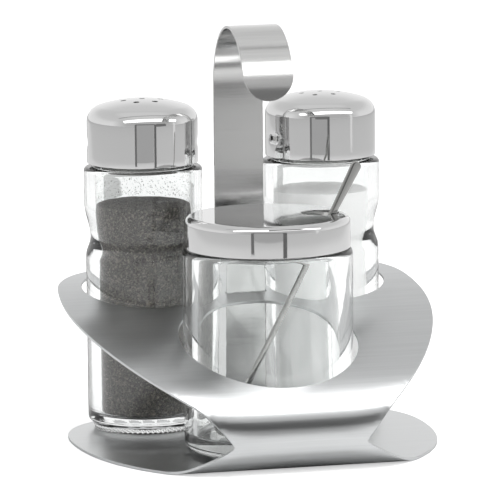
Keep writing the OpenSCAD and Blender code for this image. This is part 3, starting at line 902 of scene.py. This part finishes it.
def make_fill(s, side, axis, top, slot, finish):
    """Loose grains that fill the bore, with a rounded surface."""
    collar_low = s.collar_top-s.collar_h
    body_top = collar_low-s.waist_h
    wide = s.bore_r-FILL_GAP
    edge_r, edge_z = wide+FILL_DRAFT_SHARE*s.bore_draft, top-FILL_CROWN
    line = filleted([(0, s.inner_z, 0), (wide, s.inner_z, FLOOR_ROUND), (wide, body_top, 0)])
    line += swell(wide, body_top, wide+s.bore_draft, collar_low, 14)
    line = [p for p in line if p[1] < edge_z-SMALL]
    line += [(edge_r*(1-k/12), edge_z+FILL_CROWN*math.sin(math.pi/2*k/12)) for k in range(13)]
    builder = Builder()
    add_turned(builder, line, axis, even_turns(96))
    return builder.build(side+"_grains", side+"_shaker", slot, finish, side+"_fill")


def make_dust(s, finish):
    """Pepper dust that sticks to the inner wall above the fill."""
    seeded = random.Random(7)
    builder = Builder()
    low, high = PEPPER_TOP+s.heap, s.collar_top-MOUTH_RISE
    wall = s.bore_r+s.bore_draft
    up = Vector((0, 0, 1))
    for _ in range(DUST_COUNT):
        z = low+(high-low)*seeded.random()**1.3
        a = FULL*seeded.random()
        size = DUST_SMALLEST+DUST_SPREAD*seeded.random()**2
        out = Vector((math.cos(a), math.sin(a), 0))
        along = Vector((-out.y, out.x, 0))
        spot = PEPPER_AXIS+out*(wall-size)+up*z
        flat = out*size*DUST_FLAT_SHARE
        corners = [spot+flat, spot+along*size, spot+up*size, spot-along*size, spot-up*size, spot-flat]
        first = builder.add_points(corners)
        for i in range(4):
            for end, order in ((0, 1), (5, -1)):
                face = [end, 1+i, 1+(i+1) % 4][::order]
                p = [corners[f] for f in face]
                normal = (p[1]-p[0]).cross(p[2]-p[0]).normalized()
                builder.add_face([first+f for f in face], [normal]*3)
    return builder.build("pepper_dust", "pepper_shaker", "ground_pepper", finish)


def nick_shape(s, low, turn):
    """The two pressed-in nicks of a cap: their turns, how they dent the skin, and their open cells."""
    half = s.nick_w/2/half_width("pepper_cap_shell")
    middle_z = low+NICK_SHARE*s.cap_side
    nicks = [(turn+m*math.pi) % FULL for m in (0, 1)]
    turns = even_turns(144)
    for a in nicks:
        turns = [t for t in turns if abs(t-a) > NICK_REACH*half]
        turns += [a+half*k/2 for k in range(-6, 7)]
    turns.sort()

    def push(r, z, t):
        off = min(min(abs(t-a), FULL-abs(t-a)) for a in nicks)/half
        away = abs(z-middle_z)/s.nick_h
        if off > NICK_REACH or away > 3:
            return 0
        return NICK_DIP*math.exp(-(away*away+(off/NICK_SPREAD)**2))*(NICK_WAVE*math.cos(4*off)-1)

    def slot(z0, z1, t0, t1):
        level = max(abs(z0-middle_z), abs(z1-middle_z)) < NICK_OPEN_SHARE*s.nick_h
        return level and any(abs((t0+t1)/2-a) < half for a in nicks)

    near = [middle_z+s.nick_h*k/2 for k in (6, 4, 3, 2, 1, -1, -2, -3, -4, -6)]
    return near, turns, push, slot


def make_cap(s, side, axis, hole, turn, steel):
    low = CAP_LOW.z
    radius = half_width("pepper_cap_shell")
    shoulder_z = low+s.cap_side
    core = radius-s.shoulder
    slope = s.dome_slope
    start_r = core+s.shoulder*math.sin(slope)
    dome_r = start_r/math.sin(slope)
    dome_z = shoulder_z+(s.shoulder-dome_r)*math.cos(slope)
    disc_r = start_r-DISC_INSET

    def dome(u, v):
        up = math.sqrt(max(dome_r**2-u*u-v*v, 0))
        normal = Vector((u, v, up))/dome_r
        return (Vector((axis.x+u, axis.y+v, dome_z+up)), normal, Vector((1, 0, -u/up)).normalized(),
                Vector((0, 1, -v/up)).normalized())

    def on_dome(tilt):
        return dome_r*math.sin(tilt), dome_z+dome_r*math.cos(tilt)

    def on_shoulder(tilt):
        return core+s.shoulder*math.sin(tilt), shoulder_z+s.shoulder*math.cos(tilt)

    builder = Builder()
    spots = [(0, 0)]+[(s.pour_ring*math.cos(a), s.pour_ring*math.sin(a)) for a in even_turns(6)]
    pours = [arc_points(x, y, hole/2, 360, 0, 24)[:-1] for x, y in spots]
    disc = arc_points(0, 0, disc_r, 0, 360, 120)[:-1]
    add_plate(builder, disc, pours, dome, s.shell_t, SHELL_EDGE, DOME_STEP)
    near, turns, push, slot = nick_shape(s, low, turn)
    join = math.asin((disc_r-SHELL_EDGE)/dome_r)
    skin = radius-s.shell_t
    line = [on_dome(join+(slope-join)*i/8) for i in range(9)]
    line += [on_shoulder(slope+(math.pi/2-slope)*i/16) for i in range(1, 17)]
    line += [(radius, z) for z in near]
    line += filleted([(radius, near[-1], 0), (radius, low, RIM_ROUND), (skin, low, s.shell_t/3),
                      (skin, near[-1], 0)])[1:]
    line += [(skin, z) for z in near[-2::-1]]
    line += [(skin, shoulder_z), (disc_r-DISC_INSET/2, on_dome(join)[1]-2*s.shell_t)]
    add_turned(builder, line[::-1], axis, turns, push=push, slot=slot)
    return builder.build(side+"_cap", side+"_cap", "polished_steel", steel, side+"_cap_shell")


# Jar, lid and spoon.

JAR_HOLLOW = 0.6*MM
JAR_RING_INSET = 6*MM
JAR_FLOOR = 5*MM
JAR_HEEL = 3*MM
JAR_NECK_R = 25.3*MM
JAR_MOUTH_INSET = 1.8*MM
JAR_FLOOR_ROUND = 1.2*MM
LID_GAP = 0.4*MM
LEDGE_INSET = 0.5*MM
LID_DISC_GAP = 0.6*MM
LID_STEP = 2.4*MM
CURL = 0.2*MM
CURL_H = 2*MM
FADE_SHARES = (0.86, 0.3)
DISH_SHARE = 1.04
STEM_START_SHARE = 0.8
BOWL_TAPER = 0.12
BAR_SQUARENESS = 1.6


def make_jar(s, glass):
    low, high, lid_low = JAR_LOW.z, JAR_HIGH.z, LID_LOW.z
    radius = half_width("jar_glass")
    mouth_r = s.bore_r-JAR_MOUTH_INSET
    ledge_r, ledge_z = half_width("jar_lid_shell")-LEDGE_INSET, lid_low-LID_GAP
    hollow, inset = low+JAR_HOLLOW, radius-JAR_RING_INSET
    line = filleted([(0, hollow, 0), (inset, hollow, JAR_HOLLOW), (inset+FOOT_RING, low, FINE_ROUND),
                     (radius, low, JAR_HEEL), (radius, s.shoulder, 0)], 8)
    for i in range(1, 13):
        tilt = math.pi/2*i/12
        line.append((ledge_r+(radius-ledge_r)*math.cos(tilt), s.shoulder+(ledge_z-s.shoulder)*math.sin(tilt)))
    line += filleted([(ledge_r, ledge_z, 0), (JAR_NECK_R, ledge_z, CURL), (JAR_NECK_R, high, LIP_ROUND),
                      (mouth_r, high, LIP_ROUND), (mouth_r, lid_low, 0)])[1:]
    line += filleted([(mouth_r, lid_low, 0), (s.bore_r-LEDGE_INSET, low+JAR_FLOOR, JAR_FLOOR_ROUND),
                      (0, low+JAR_FLOOR, 0)], 8)[1:]
    builder = Builder()
    add_turned(builder, line, JAR_AXIS, even_turns(240))
    return builder.build("mustard_jar", "jar", "jar_glass", glass, "jar_glass")


def make_lid(s, shell_t, steel):
    low, high = LID_LOW.z, LID_HIGH.z
    radius = half_width("jar_lid_shell")
    skin = radius-shell_t
    disc_r = radius-s.lid_round-LID_DISC_GAP

    def flat(u, v):
        point = Vector((JAR_AXIS.x+u, JAR_AXIS.y+v, high))
        return point, Vector((0, 0, 1)), Vector((1, 0, 0)), Vector((0, 1, 0))

    builder = Builder()
    hole = arc_points(s.hole_x, 0, s.spoon_hole/2, 360, 0, 72)[:-1]
    disc = arc_points(0, 0, disc_r, 0, 360, 160)[:-1]
    add_plate(builder, disc, [hole], flat, shell_t, SHELL_EDGE, LID_STEP)
    line = filleted([(disc_r-SHELL_EDGE, high, 0), (radius, high, s.lid_round), (radius, low, FINE_ROUND),
                     (skin-CURL, low, CURL), (skin-CURL, low+CURL_H, 0)], 14)
    line += [(skin, low+CURL_H), (skin, high-CURL_H), (disc_r-DISC_INSET/2, high-shell_t)]
    add_turned(builder, line[::-1], JAR_AXIS, even_turns(180))
    return builder.build("jar_cover", "jar_lid", "polished_steel", steel, "jar_lid_shell")


def spoon_point(s, run, turn):
    """A point on the skin of the spoon, a run from its toe and a turn round its section."""
    thick = s.spoon_t/2
    half = spoon_half(s, run)
    edge = min(thick, half)
    wide = (half-edge)*max(-1, min(1, BAR_SQUARENESS*math.cos(turn)))+edge*math.cos(turn)
    dish = DISH_SHARE*s.bowl_l
    middle_y = thick+math.sqrt(dish**2-s.bowl_l**2/4)
    bend = middle_y-math.sqrt((dish-thick)**2-wide**2-(min(run, s.bowl_l)-s.bowl_l/2)**2)
    fade = min(max((run-FADE_SHARES[0]*s.bowl_l)/(FADE_SHARES[1]*s.bowl_l), 0), 1)
    fade = fade*fade*(3-2*fade)
    toe = Vector((s.toe_x, JAR_AXIS.y+s.toe_y, s.toe_z))
    up = Vector((math.sin(s.lean), 0, math.cos(s.lean)))
    across = Vector((math.cos(s.lean), 0, -math.sin(s.lean)))
    return toe+across*wide+up*run+Vector((0, edge*math.sin(turn)+bend*(1-fade), 0))


def spoon_half(s, run):
    """Half the spoon's width at a run from its toe."""
    bowl = 0
    if run < s.bowl_l:
        t = 2*run/s.bowl_l-1
        bowl = s.bowl_w/2*math.sqrt(max(1-t*t, 0))*(1-BOWL_TAPER*t)
    if run <= STEM_START_SHARE*s.bowl_l:
        return bowl
    grip = min(max((run-s.spoon_l+s.grip_l)/(s.grip_l-s.grip_w/2), 0), 1)
    stem = s.stem_w/2+(s.grip_w-s.stem_w)/2*grip
    left = (s.spoon_l-run)/(s.grip_w/2)
    end = math.sqrt(max(1-(1-left)**2, 0)) if left < 1 else 1
    return max(bowl, stem*end)


def make_spoon(s, steel):
    """A polished bar with rounded edges that widens into a dished bowl."""
    around = 32
    tip_r = s.grip_w/2
    runs = [s.bowl_l*(1-math.cos(math.pi*i/40))/2 for i in range(1, 40)]
    runs += [s.bowl_l+(s.spoon_l-tip_r-s.bowl_l)*i/60 for i in range(61)]
    runs += [s.spoon_l-tip_r*(1-math.sin(math.pi/2*i/12)) for i in range(1, 12)]
    up = Vector((math.sin(s.lean), 0, math.cos(s.lean)))
    builder = Builder()
    rings, shades = [], []
    for run in runs:
        shade = []
        for turn in even_turns(around):
            side = spoon_point(s, run, turn+0.02)-spoon_point(s, run, turn-0.02)
            ahead = spoon_point(s, run+NEAR, turn)-spoon_point(s, run-NEAR, turn)
            normal = side.cross(ahead)
            shade.append(normal.normalized() if normal.length > 0 else up)
        first = builder.add_points([spoon_point(s, run, turn) for turn in even_turns(around)])
        rings.append([first+k for k in range(around)])
        shades.append(shade)
    for i in range(len(runs)-1):
        for k in range(around):
            m = (k+1) % around
            builder.add_face([rings[i][k], rings[i][m], rings[i+1][m], rings[i+1][k]],
                             [shades[i][k], shades[i][m], shades[i+1][m], shades[i+1][k]])
    toe = (spoon_point(s, 0, 0)+spoon_point(s, 0, math.pi))/2
    tip = spoon_point(s, s.spoon_l, 0)
    for i, end, way, order in ((0, toe, -up, -1), (-1, tip, up, 1)):
        last = builder.add_points([end])
        for k in range(around):
            m = (k+1) % around
            builder.add_face([rings[i][k], rings[i][m], last][::order],
                             [shades[i][k], shades[i][m], way][::order])
    return builder.build("mustard_spoon", "spoon", "spoon_steel", steel, "spoon")


# Finishes.

def make_finishes(f):
    brush_group()
    smudge_group()
    grain_group()
    satin_steel("satin sheet steel", f.satin, 0.24, 0.36, 0.35)
    satin_steel("satin strip steel", f.strip, 0.16, 0.26, 0.3)
    polished_steel("polished steel", f.polish, 0.03, 0.07)
    polished_steel("polished spoon steel", f.spoon, 0.05, 0.1)
    clear_glass("clear shaker glass", 0.15)
    clear_glass("clear jar glass", 0.1)
    grainy("ground pepper", f.pepper_dark, f.pepper_light, 2400, 3, 0.8, 0.8)
    # The salt's glow of 0.2 is painted light that brightens the salt where the cap and glass shade it.
    grainy("table salt", [c*SALT_DARK_SHARE for c in f.salt], f.salt, 2600, 1, 0.3, 0.6, 0.2)
    grainy("white plastic", [c*PATCH_SHARE for c in f.plastic], f.plastic, 900, 1, 0.05, 0.35)


class CRUET_OT_finishes(bpy.types.Operator):
    """Makes the steels, glasses, pepper, salt and plastic."""
    bl_idname = "cruet.finishes"
    bl_label = "Finishes"

    def execute(self, context):
        make_finishes(context.scene.cruet_finishes)
        return {"FINISHED"}


class CRUET_OT_stand(bpy.types.Operator):
    """Makes the bent sheet and the crook handle."""
    bl_idname = "cruet.stand"
    bl_label = "Stand"

    def execute(self, context):
        sizes = context.scene.cruet_stand
        shaker_r = context.scene.cruet_shakers.body_r
        make_sheet(sizes, shaker_r, bpy.data.materials["satin sheet steel"])
        make_strip(sizes, bpy.data.materials["satin strip steel"])
        return {"FINISHED"}


class CRUET_OT_shakers(bpy.types.Operator):
    """Makes the shaker glasses with their contents."""
    bl_idname = "cruet.shakers"
    bl_label = "Shakers"

    def execute(self, context):
        sizes = context.scene.cruet_shakers
        glass = bpy.data.materials["clear shaker glass"]
        make_shaker_glass(sizes, "pepper", PEPPER_AXIS, glass)
        make_shaker_glass(sizes, "salt", SALT_AXIS, glass)
        pepper = bpy.data.materials["ground pepper"]
        salt = bpy.data.materials["table salt"]
        make_fill(sizes, "pepper", PEPPER_AXIS, PEPPER_TOP+sizes.heap, "ground_pepper", pepper)
        make_fill(sizes, "salt", SALT_AXIS, SALT_TOP+sizes.heap/3, "table_salt", salt)
        make_dust(sizes, pepper)
        return {"FINISHED"}


class CRUET_OT_caps(bpy.types.Operator):
    """Makes the steel caps and finishes their plastic inserts."""
    bl_idname = "cruet.caps"
    bl_label = "Caps"

    def execute(self, context):
        sizes = context.scene.cruet_shakers
        steel = bpy.data.materials["polished steel"]
        make_cap(sizes, "pepper", PEPPER_AXIS, sizes.pepper_hole, sizes.pepper_turn, steel)
        make_cap(sizes, "salt", SALT_AXIS, sizes.salt_hole, sizes.salt_turn, steel)
        for name in ("pepper_cap_insert", "salt_cap_insert", "jar_lid_insert"):
            paint(name, "white plastic")
        return {"FINISHED"}


def paint(name, finish):
    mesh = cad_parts[name].data
    mesh.materials.clear()
    mesh.materials.append(bpy.data.materials[finish])


class CRUET_OT_jar(bpy.types.Operator):
    """Makes the mustard jar, its lid and the spoon."""
    bl_idname = "cruet.jar"
    bl_label = "Jar"

    def execute(self, context):
        sizes = context.scene.cruet_jar
        make_jar(sizes, bpy.data.materials["clear jar glass"])
        make_lid(sizes, context.scene.cruet_shakers.shell_t, bpy.data.materials["polished steel"])
        make_spoon(sizes, bpy.data.materials["polished spoon steel"])
        return {"FINISHED"}


# Stage: floor, lights and camera. Heights of the sky are in degrees, greys are linear.

FLOOR_REACH = 6
CAMERA_TURN, CAMERA_TILT, CAMERA_ROLL = (math.radians(a) for a in (-13.99, 9.06, -0.58))
CAMERA_PLACE = (-0.412945, -1.648490, 0.335911)
CAMERA_LENS = 371.3
CAMERA_SHIFT = 0.0004
FRONT_GREYS = [(-90, 1), (-2, 0.75), (4, 0.6), (28, 0.6), (39, 0.66), (50, 0.85), (70, 0.85)]
REAR_GREYS = [(-90, 1), (8, 1), (20, 0.95), (32, 0.8), (56, 0.76), (66, 0.85), (90, 0.85)]
FRONT_PART = [(0.6, 0), (0.85, 1)]
# TABLE_GLOW is painted light: a glow on the floor, at these distances from the set, that only mirrors see.
TABLE_GLOW = [(0.02, 0), (0.075, 0), (0.12, 0.12), (0.42, 0.12), (0.52, 0)]
# CONTACT_SHADE is a painted shadow: greys by which the floor darkens for mirrors close in front of the fold.
CONTACT_SHADE = [(0.049, 0.3), (0.052, 0.9), (0.054, 1)]
GLOW_THROUGH_GLASS = 0.34
GLOW_SEEN = 0.5
SOFT_GREY = 0.72


def seen_sharply(tree):
    """One for rays from the camera, mirrors and glass, nought for soft light."""
    path = node(tree, "ShaderNodeLightPath")
    seen = maths(tree, "MAXIMUM", path.outputs["Is Camera Ray"], path.outputs["Is Glossy Ray"])
    return maths(tree, "MAXIMUM", seen, path.outputs["Is Transmission Ray"])


def make_floor(f):
    mesh = bpy.data.meshes.new("floor")
    corners = [(FLOOR_REACH*x, FLOOR_REACH*y, 0) for x, y in ((-1, -1), (1, -1), (1, 1), (-1, 1))]
    mesh.from_pydata(corners, [], [(0, 1, 2, 3)])
    made, tree, shader = material("pale floor", Roughness=0.9, Specular_IOR_Level=0.0,
                                  Emission_Color=(1, 1, 1, 1))
    path = node(tree, "ShaderNodeLightPath")
    place = node(tree, "ShaderNodeTexCoord").outputs["Object"]
    apart = node(tree, "ShaderNodeSeparateXYZ")
    tree.links.new(place, apart.inputs[0])
    ahead = maths(tree, "MINIMUM", apart.outputs["Y"], 0.0)
    far = node(tree, "ShaderNodeCombineXYZ")
    tree.links.new(apart.outputs["X"], far.inputs["X"])
    tree.links.new(ahead, far.inputs["Y"])
    away = node(tree, "ShaderNodeVectorMath", operation="LENGTH")
    tree.links.new(far.outputs[0], away.inputs[0])
    # Painted light: mirrors see the floor glow at middle distance, and not near the set or far off.
    table = ramp(tree, away.outputs["Value"], TABLE_GLOW)
    painted_contact_shadow = ramp(tree, away.outputs["Value"], CONTACT_SHADE)
    painted_mirror_glow = maths(tree, "MULTIPLY", table, path.outputs["Is Glossy Ray"])
    through = maths(tree, "MULTIPLY", path.outputs["Is Transmission Ray"], GLOW_THROUGH_GLASS)
    seen = maths(tree, "MULTIPLY", path.outputs["Is Camera Ray"], GLOW_SEEN)
    # The floor's glow joins the painted glow in mirrors with the even glow that the camera and glass see.
    glow = maths(tree, "MAXIMUM", maths(tree, "MAXIMUM", painted_mirror_glow, through), seen)
    tree.links.new(glow, shader.inputs["Emission Strength"])
    # Painted contact shadow: only rays from mirrors see the floor's colour darkened near the fold.
    shade = blend(tree, 1, (*f.floor, 1), painted_contact_shadow, "MULTIPLY")
    colour = blend(tree, path.outputs["Is Glossy Ray"], (*f.floor, 1), shade)
    tree.links.new(colour, shader.inputs["Base Color"])
    mesh.materials.append(made)
    floor = bpy.data.objects.new("floor", mesh)
    floor.location.z = SHEET_LOW.z
    bpy.context.scene.collection.objects.link(floor)


def ramp(tree, value, stops):
    made = tree.nodes.new("ShaderNodeValToRGB")
    bar = made.color_ramp
    while len(bar.elements) < len(stops):
        bar.elements.new(0.5)
    for element, (place, grey) in zip(bar.elements, stops):
        element.position = place
        element.color = (grey, grey, grey, 1)
    tree.links.new(value, made.inputs[0])
    return made.outputs[0]


def height_stops(stops):
    return [((math.sin(math.radians(tilt))+1)/2, grey) for tilt, grey in stops]


def make_world():
    world = bpy.data.worlds.new("studio")
    bpy.context.scene.world = world
    world.use_nodes = True
    tree = world.node_tree
    back = tree.nodes["Background"]
    place = node(tree, "ShaderNodeTexCoord").outputs["Generated"]
    apart = node(tree, "ShaderNodeSeparateXYZ")
    tree.links.new(place, apart.inputs[0])
    level = maths(tree, "MULTIPLY", maths(tree, "ADD", apart.outputs["Z"], 1.0), 0.5)
    front = ramp(tree, level, height_stops(FRONT_GREYS))
    rear = ramp(tree, level, height_stops(REAR_GREYS))
    facing = maths(tree, "MULTIPLY", apart.outputs["Y"], -1.0)
    forward = maths(tree, "MULTIPLY", maths(tree, "ADD", facing, 1.0), 0.5)
    side = ramp(tree, forward, FRONT_PART)
    soft = (SOFT_GREY, SOFT_GREY, SOFT_GREY, 1)
    sky = blend(tree, seen_sharply(tree), soft, blend(tree, side, rear, front))
    tree.links.new(sky, back.inputs["Color"])
    back.inputs["Strength"].default_value = 1.0


def soft_lamp(name, place, target, wide, high, power, mirrored_too=True):
    lamp = bpy.data.lights.new(name, "AREA")
    lamp.shape = "RECTANGLE"
    lamp.size = wide
    lamp.size_y = high
    lamp.energy = power
    made = bpy.data.objects.new(name, lamp)
    made.location = place
    way = Vector(place)-Vector(target)
    made.rotation_euler = way.to_track_quat("Z", "Y").to_euler()
    made.visible_camera = False
    made.visible_transmission = False
    made.visible_glossy = mirrored_too
    bpy.context.scene.collection.objects.link(made)


def make_camera():
    lens = bpy.data.cameras.new("camera")
    lens.sensor_width = 36
    lens.lens = CAMERA_LENS
    lens.shift_y = CAMERA_SHIFT
    lens.clip_start = 0.05
    made = bpy.data.objects.new("camera", lens)
    back = Vector((math.sin(CAMERA_TURN)*math.cos(CAMERA_TILT),
                   -math.cos(CAMERA_TURN)*math.cos(CAMERA_TILT), math.sin(CAMERA_TILT)))
    right = (-back).cross(Vector((0, 0, 1))).normalized()
    up = right.cross(-back)
    across = right*math.cos(CAMERA_ROLL)+up*math.sin(CAMERA_ROLL)
    upward = up*math.cos(CAMERA_ROLL)-right*math.sin(CAMERA_ROLL)
    turned = Matrix((across, upward, back)).transposed().to_4x4()
    made.matrix_world = Matrix.Translation(CAMERA_PLACE) @ turned
    bpy.context.scene.collection.objects.link(made)
    bpy.context.scene.camera = made


def card(name, points, grey):
    """A flat card that only mirrors and glass see."""
    mesh = bpy.data.meshes.new(name)
    mesh.from_pydata(points, [], [tuple(range(len(points)))])
    made, _, _ = material(name, Base_Color=(0, 0, 0, 1), Specular_IOR_Level=0,
                          Emission_Color=(grey, grey, grey, 1), Emission_Strength=1)
    mesh.materials.append(made)
    piece = bpy.data.objects.new(name, mesh)
    bpy.context.scene.collection.objects.link(piece)
    for ray in ("camera", "diffuse", "shadow", "transmission", "volume_scatter"):
        setattr(piece, "visible_"+ray, False)


def upright_card(name, turn0, turn1, away, low, high, grey):
    """An upright card in front of the set between two azimuths, in degrees."""
    ends = [(away*math.sin(math.radians(t)), -away*math.cos(math.radians(t))) for t in (turn0, turn1)]
    points = [(*ends[0], low), (*ends[1], low), (*ends[1], high), (*ends[0], high)]
    card(name, points, grey)


def front_bar(name, left, right, y, low, high, grey):
    """A small dark bar close in front of a rounded edge."""
    card(name, [(left, y, low), (right, y, low), (right, y, high), (left, y, high)], grey)


def make_cards():
    """A stand and a panel in front of the set, as the polished steel shows them."""
    upright_card("left_post", -34.5, -30.5, 0.39, 0, 0.21, 0.2)
    upright_card("right_post", 6, 11, 0.29, 0, 0.17, 0.17)
    upright_card("top_bar", -32, 10, 0.38, 0.175, 0.21, 0.16)
    upright_card("panel", -31, 8, 0.6, 0, 0.3, 0.5)
    upright_card("bright_window", 54, 59, 0.7, 0, 0.3, 0.95)
    front_bar("tip_bar", -0.01, 0.03, -0.06, 0.103, 0.13, 0.22)
    front_bar("fold_bar", -0.045, 0.05, -0.085, 0.0205, 0.041, 0.1)
    rail = [(-0.25, -0.03, 0.34), (0.25, -0.03, 0.34), (0.25, -0.015, 0.34), (-0.25, -0.015, 0.34)]
    card("lamp_rail", rail, 0.3)


class CRUET_OT_stage(bpy.types.Operator):
    """Makes the floor, the lights and the camera."""
    bl_idname = "cruet.stage"
    bl_label = "Stage"

    def execute(self, context):
        context.scene.view_settings.view_transform = "Standard"
        make_floor(context.scene.cruet_finishes)
        make_world()
        make_cards()
        soft_lamp("front softbox", (0.03, -0.143, 0.262), (0.03, -0.02, 0.18), 0.6, 0.075, 0.36)
        soft_lamp("low softbox", (0.02, -0.0508, 0.066), (0.02, -0.0508, 0), 0.13, 0.0145, 0.026)
        soft_lamp("upper softbox", (0.1, 0.1, 1.3), (0, 0, 0), 0.9, 0.9, 5, False)
        make_camera()
        return {"FINISHED"}


class CRUET_PT_panel(bpy.types.Panel):
    """Lists the pieces and their sizes."""
    bl_label = "Cruet set"
    bl_space_type = "VIEW_3D"
    bl_region_type = "UI"
    bl_category = "Cruet set"

    def draw(self, context):
        for key in OPERATORS:
            self.layout.operator("cruet."+key)
        for group in ("cruet_stand", "cruet_shakers", "cruet_jar", "cruet_finishes"):
            box = self.layout.box()
            for key in getattr(context.scene, group).__annotations__:
                box.prop(getattr(context.scene, group), key)


OPERATORS = ("finishes", "stand", "shakers", "caps", "jar", "stage")
GROUPS = {"cruet_stand": StandSizes, "cruet_shakers": ShakerSizes, "cruet_jar": JarSizes,
          "cruet_finishes": Finishes}
CLASSES = (*GROUPS.values(), CRUET_OT_finishes, CRUET_OT_stand, CRUET_OT_shakers, CRUET_OT_caps,
           CRUET_OT_jar, CRUET_OT_stage, CRUET_PT_panel)


def register():
    for one in CLASSES:
        bpy.utils.register_class(one)
    for name, group in GROUPS.items():
        setattr(bpy.types.Scene, name, bpy.props.PointerProperty(type=group))


def unregister():
    for name in GROUPS:
        delattr(bpy.types.Scene, name)
    for one in reversed(CLASSES):
        bpy.utils.unregister_class(one)


def main():
    register()
    for key in OPERATORS:
        getattr(bpy.ops.cruet, key)()


if __name__ == "__main__":
    main()
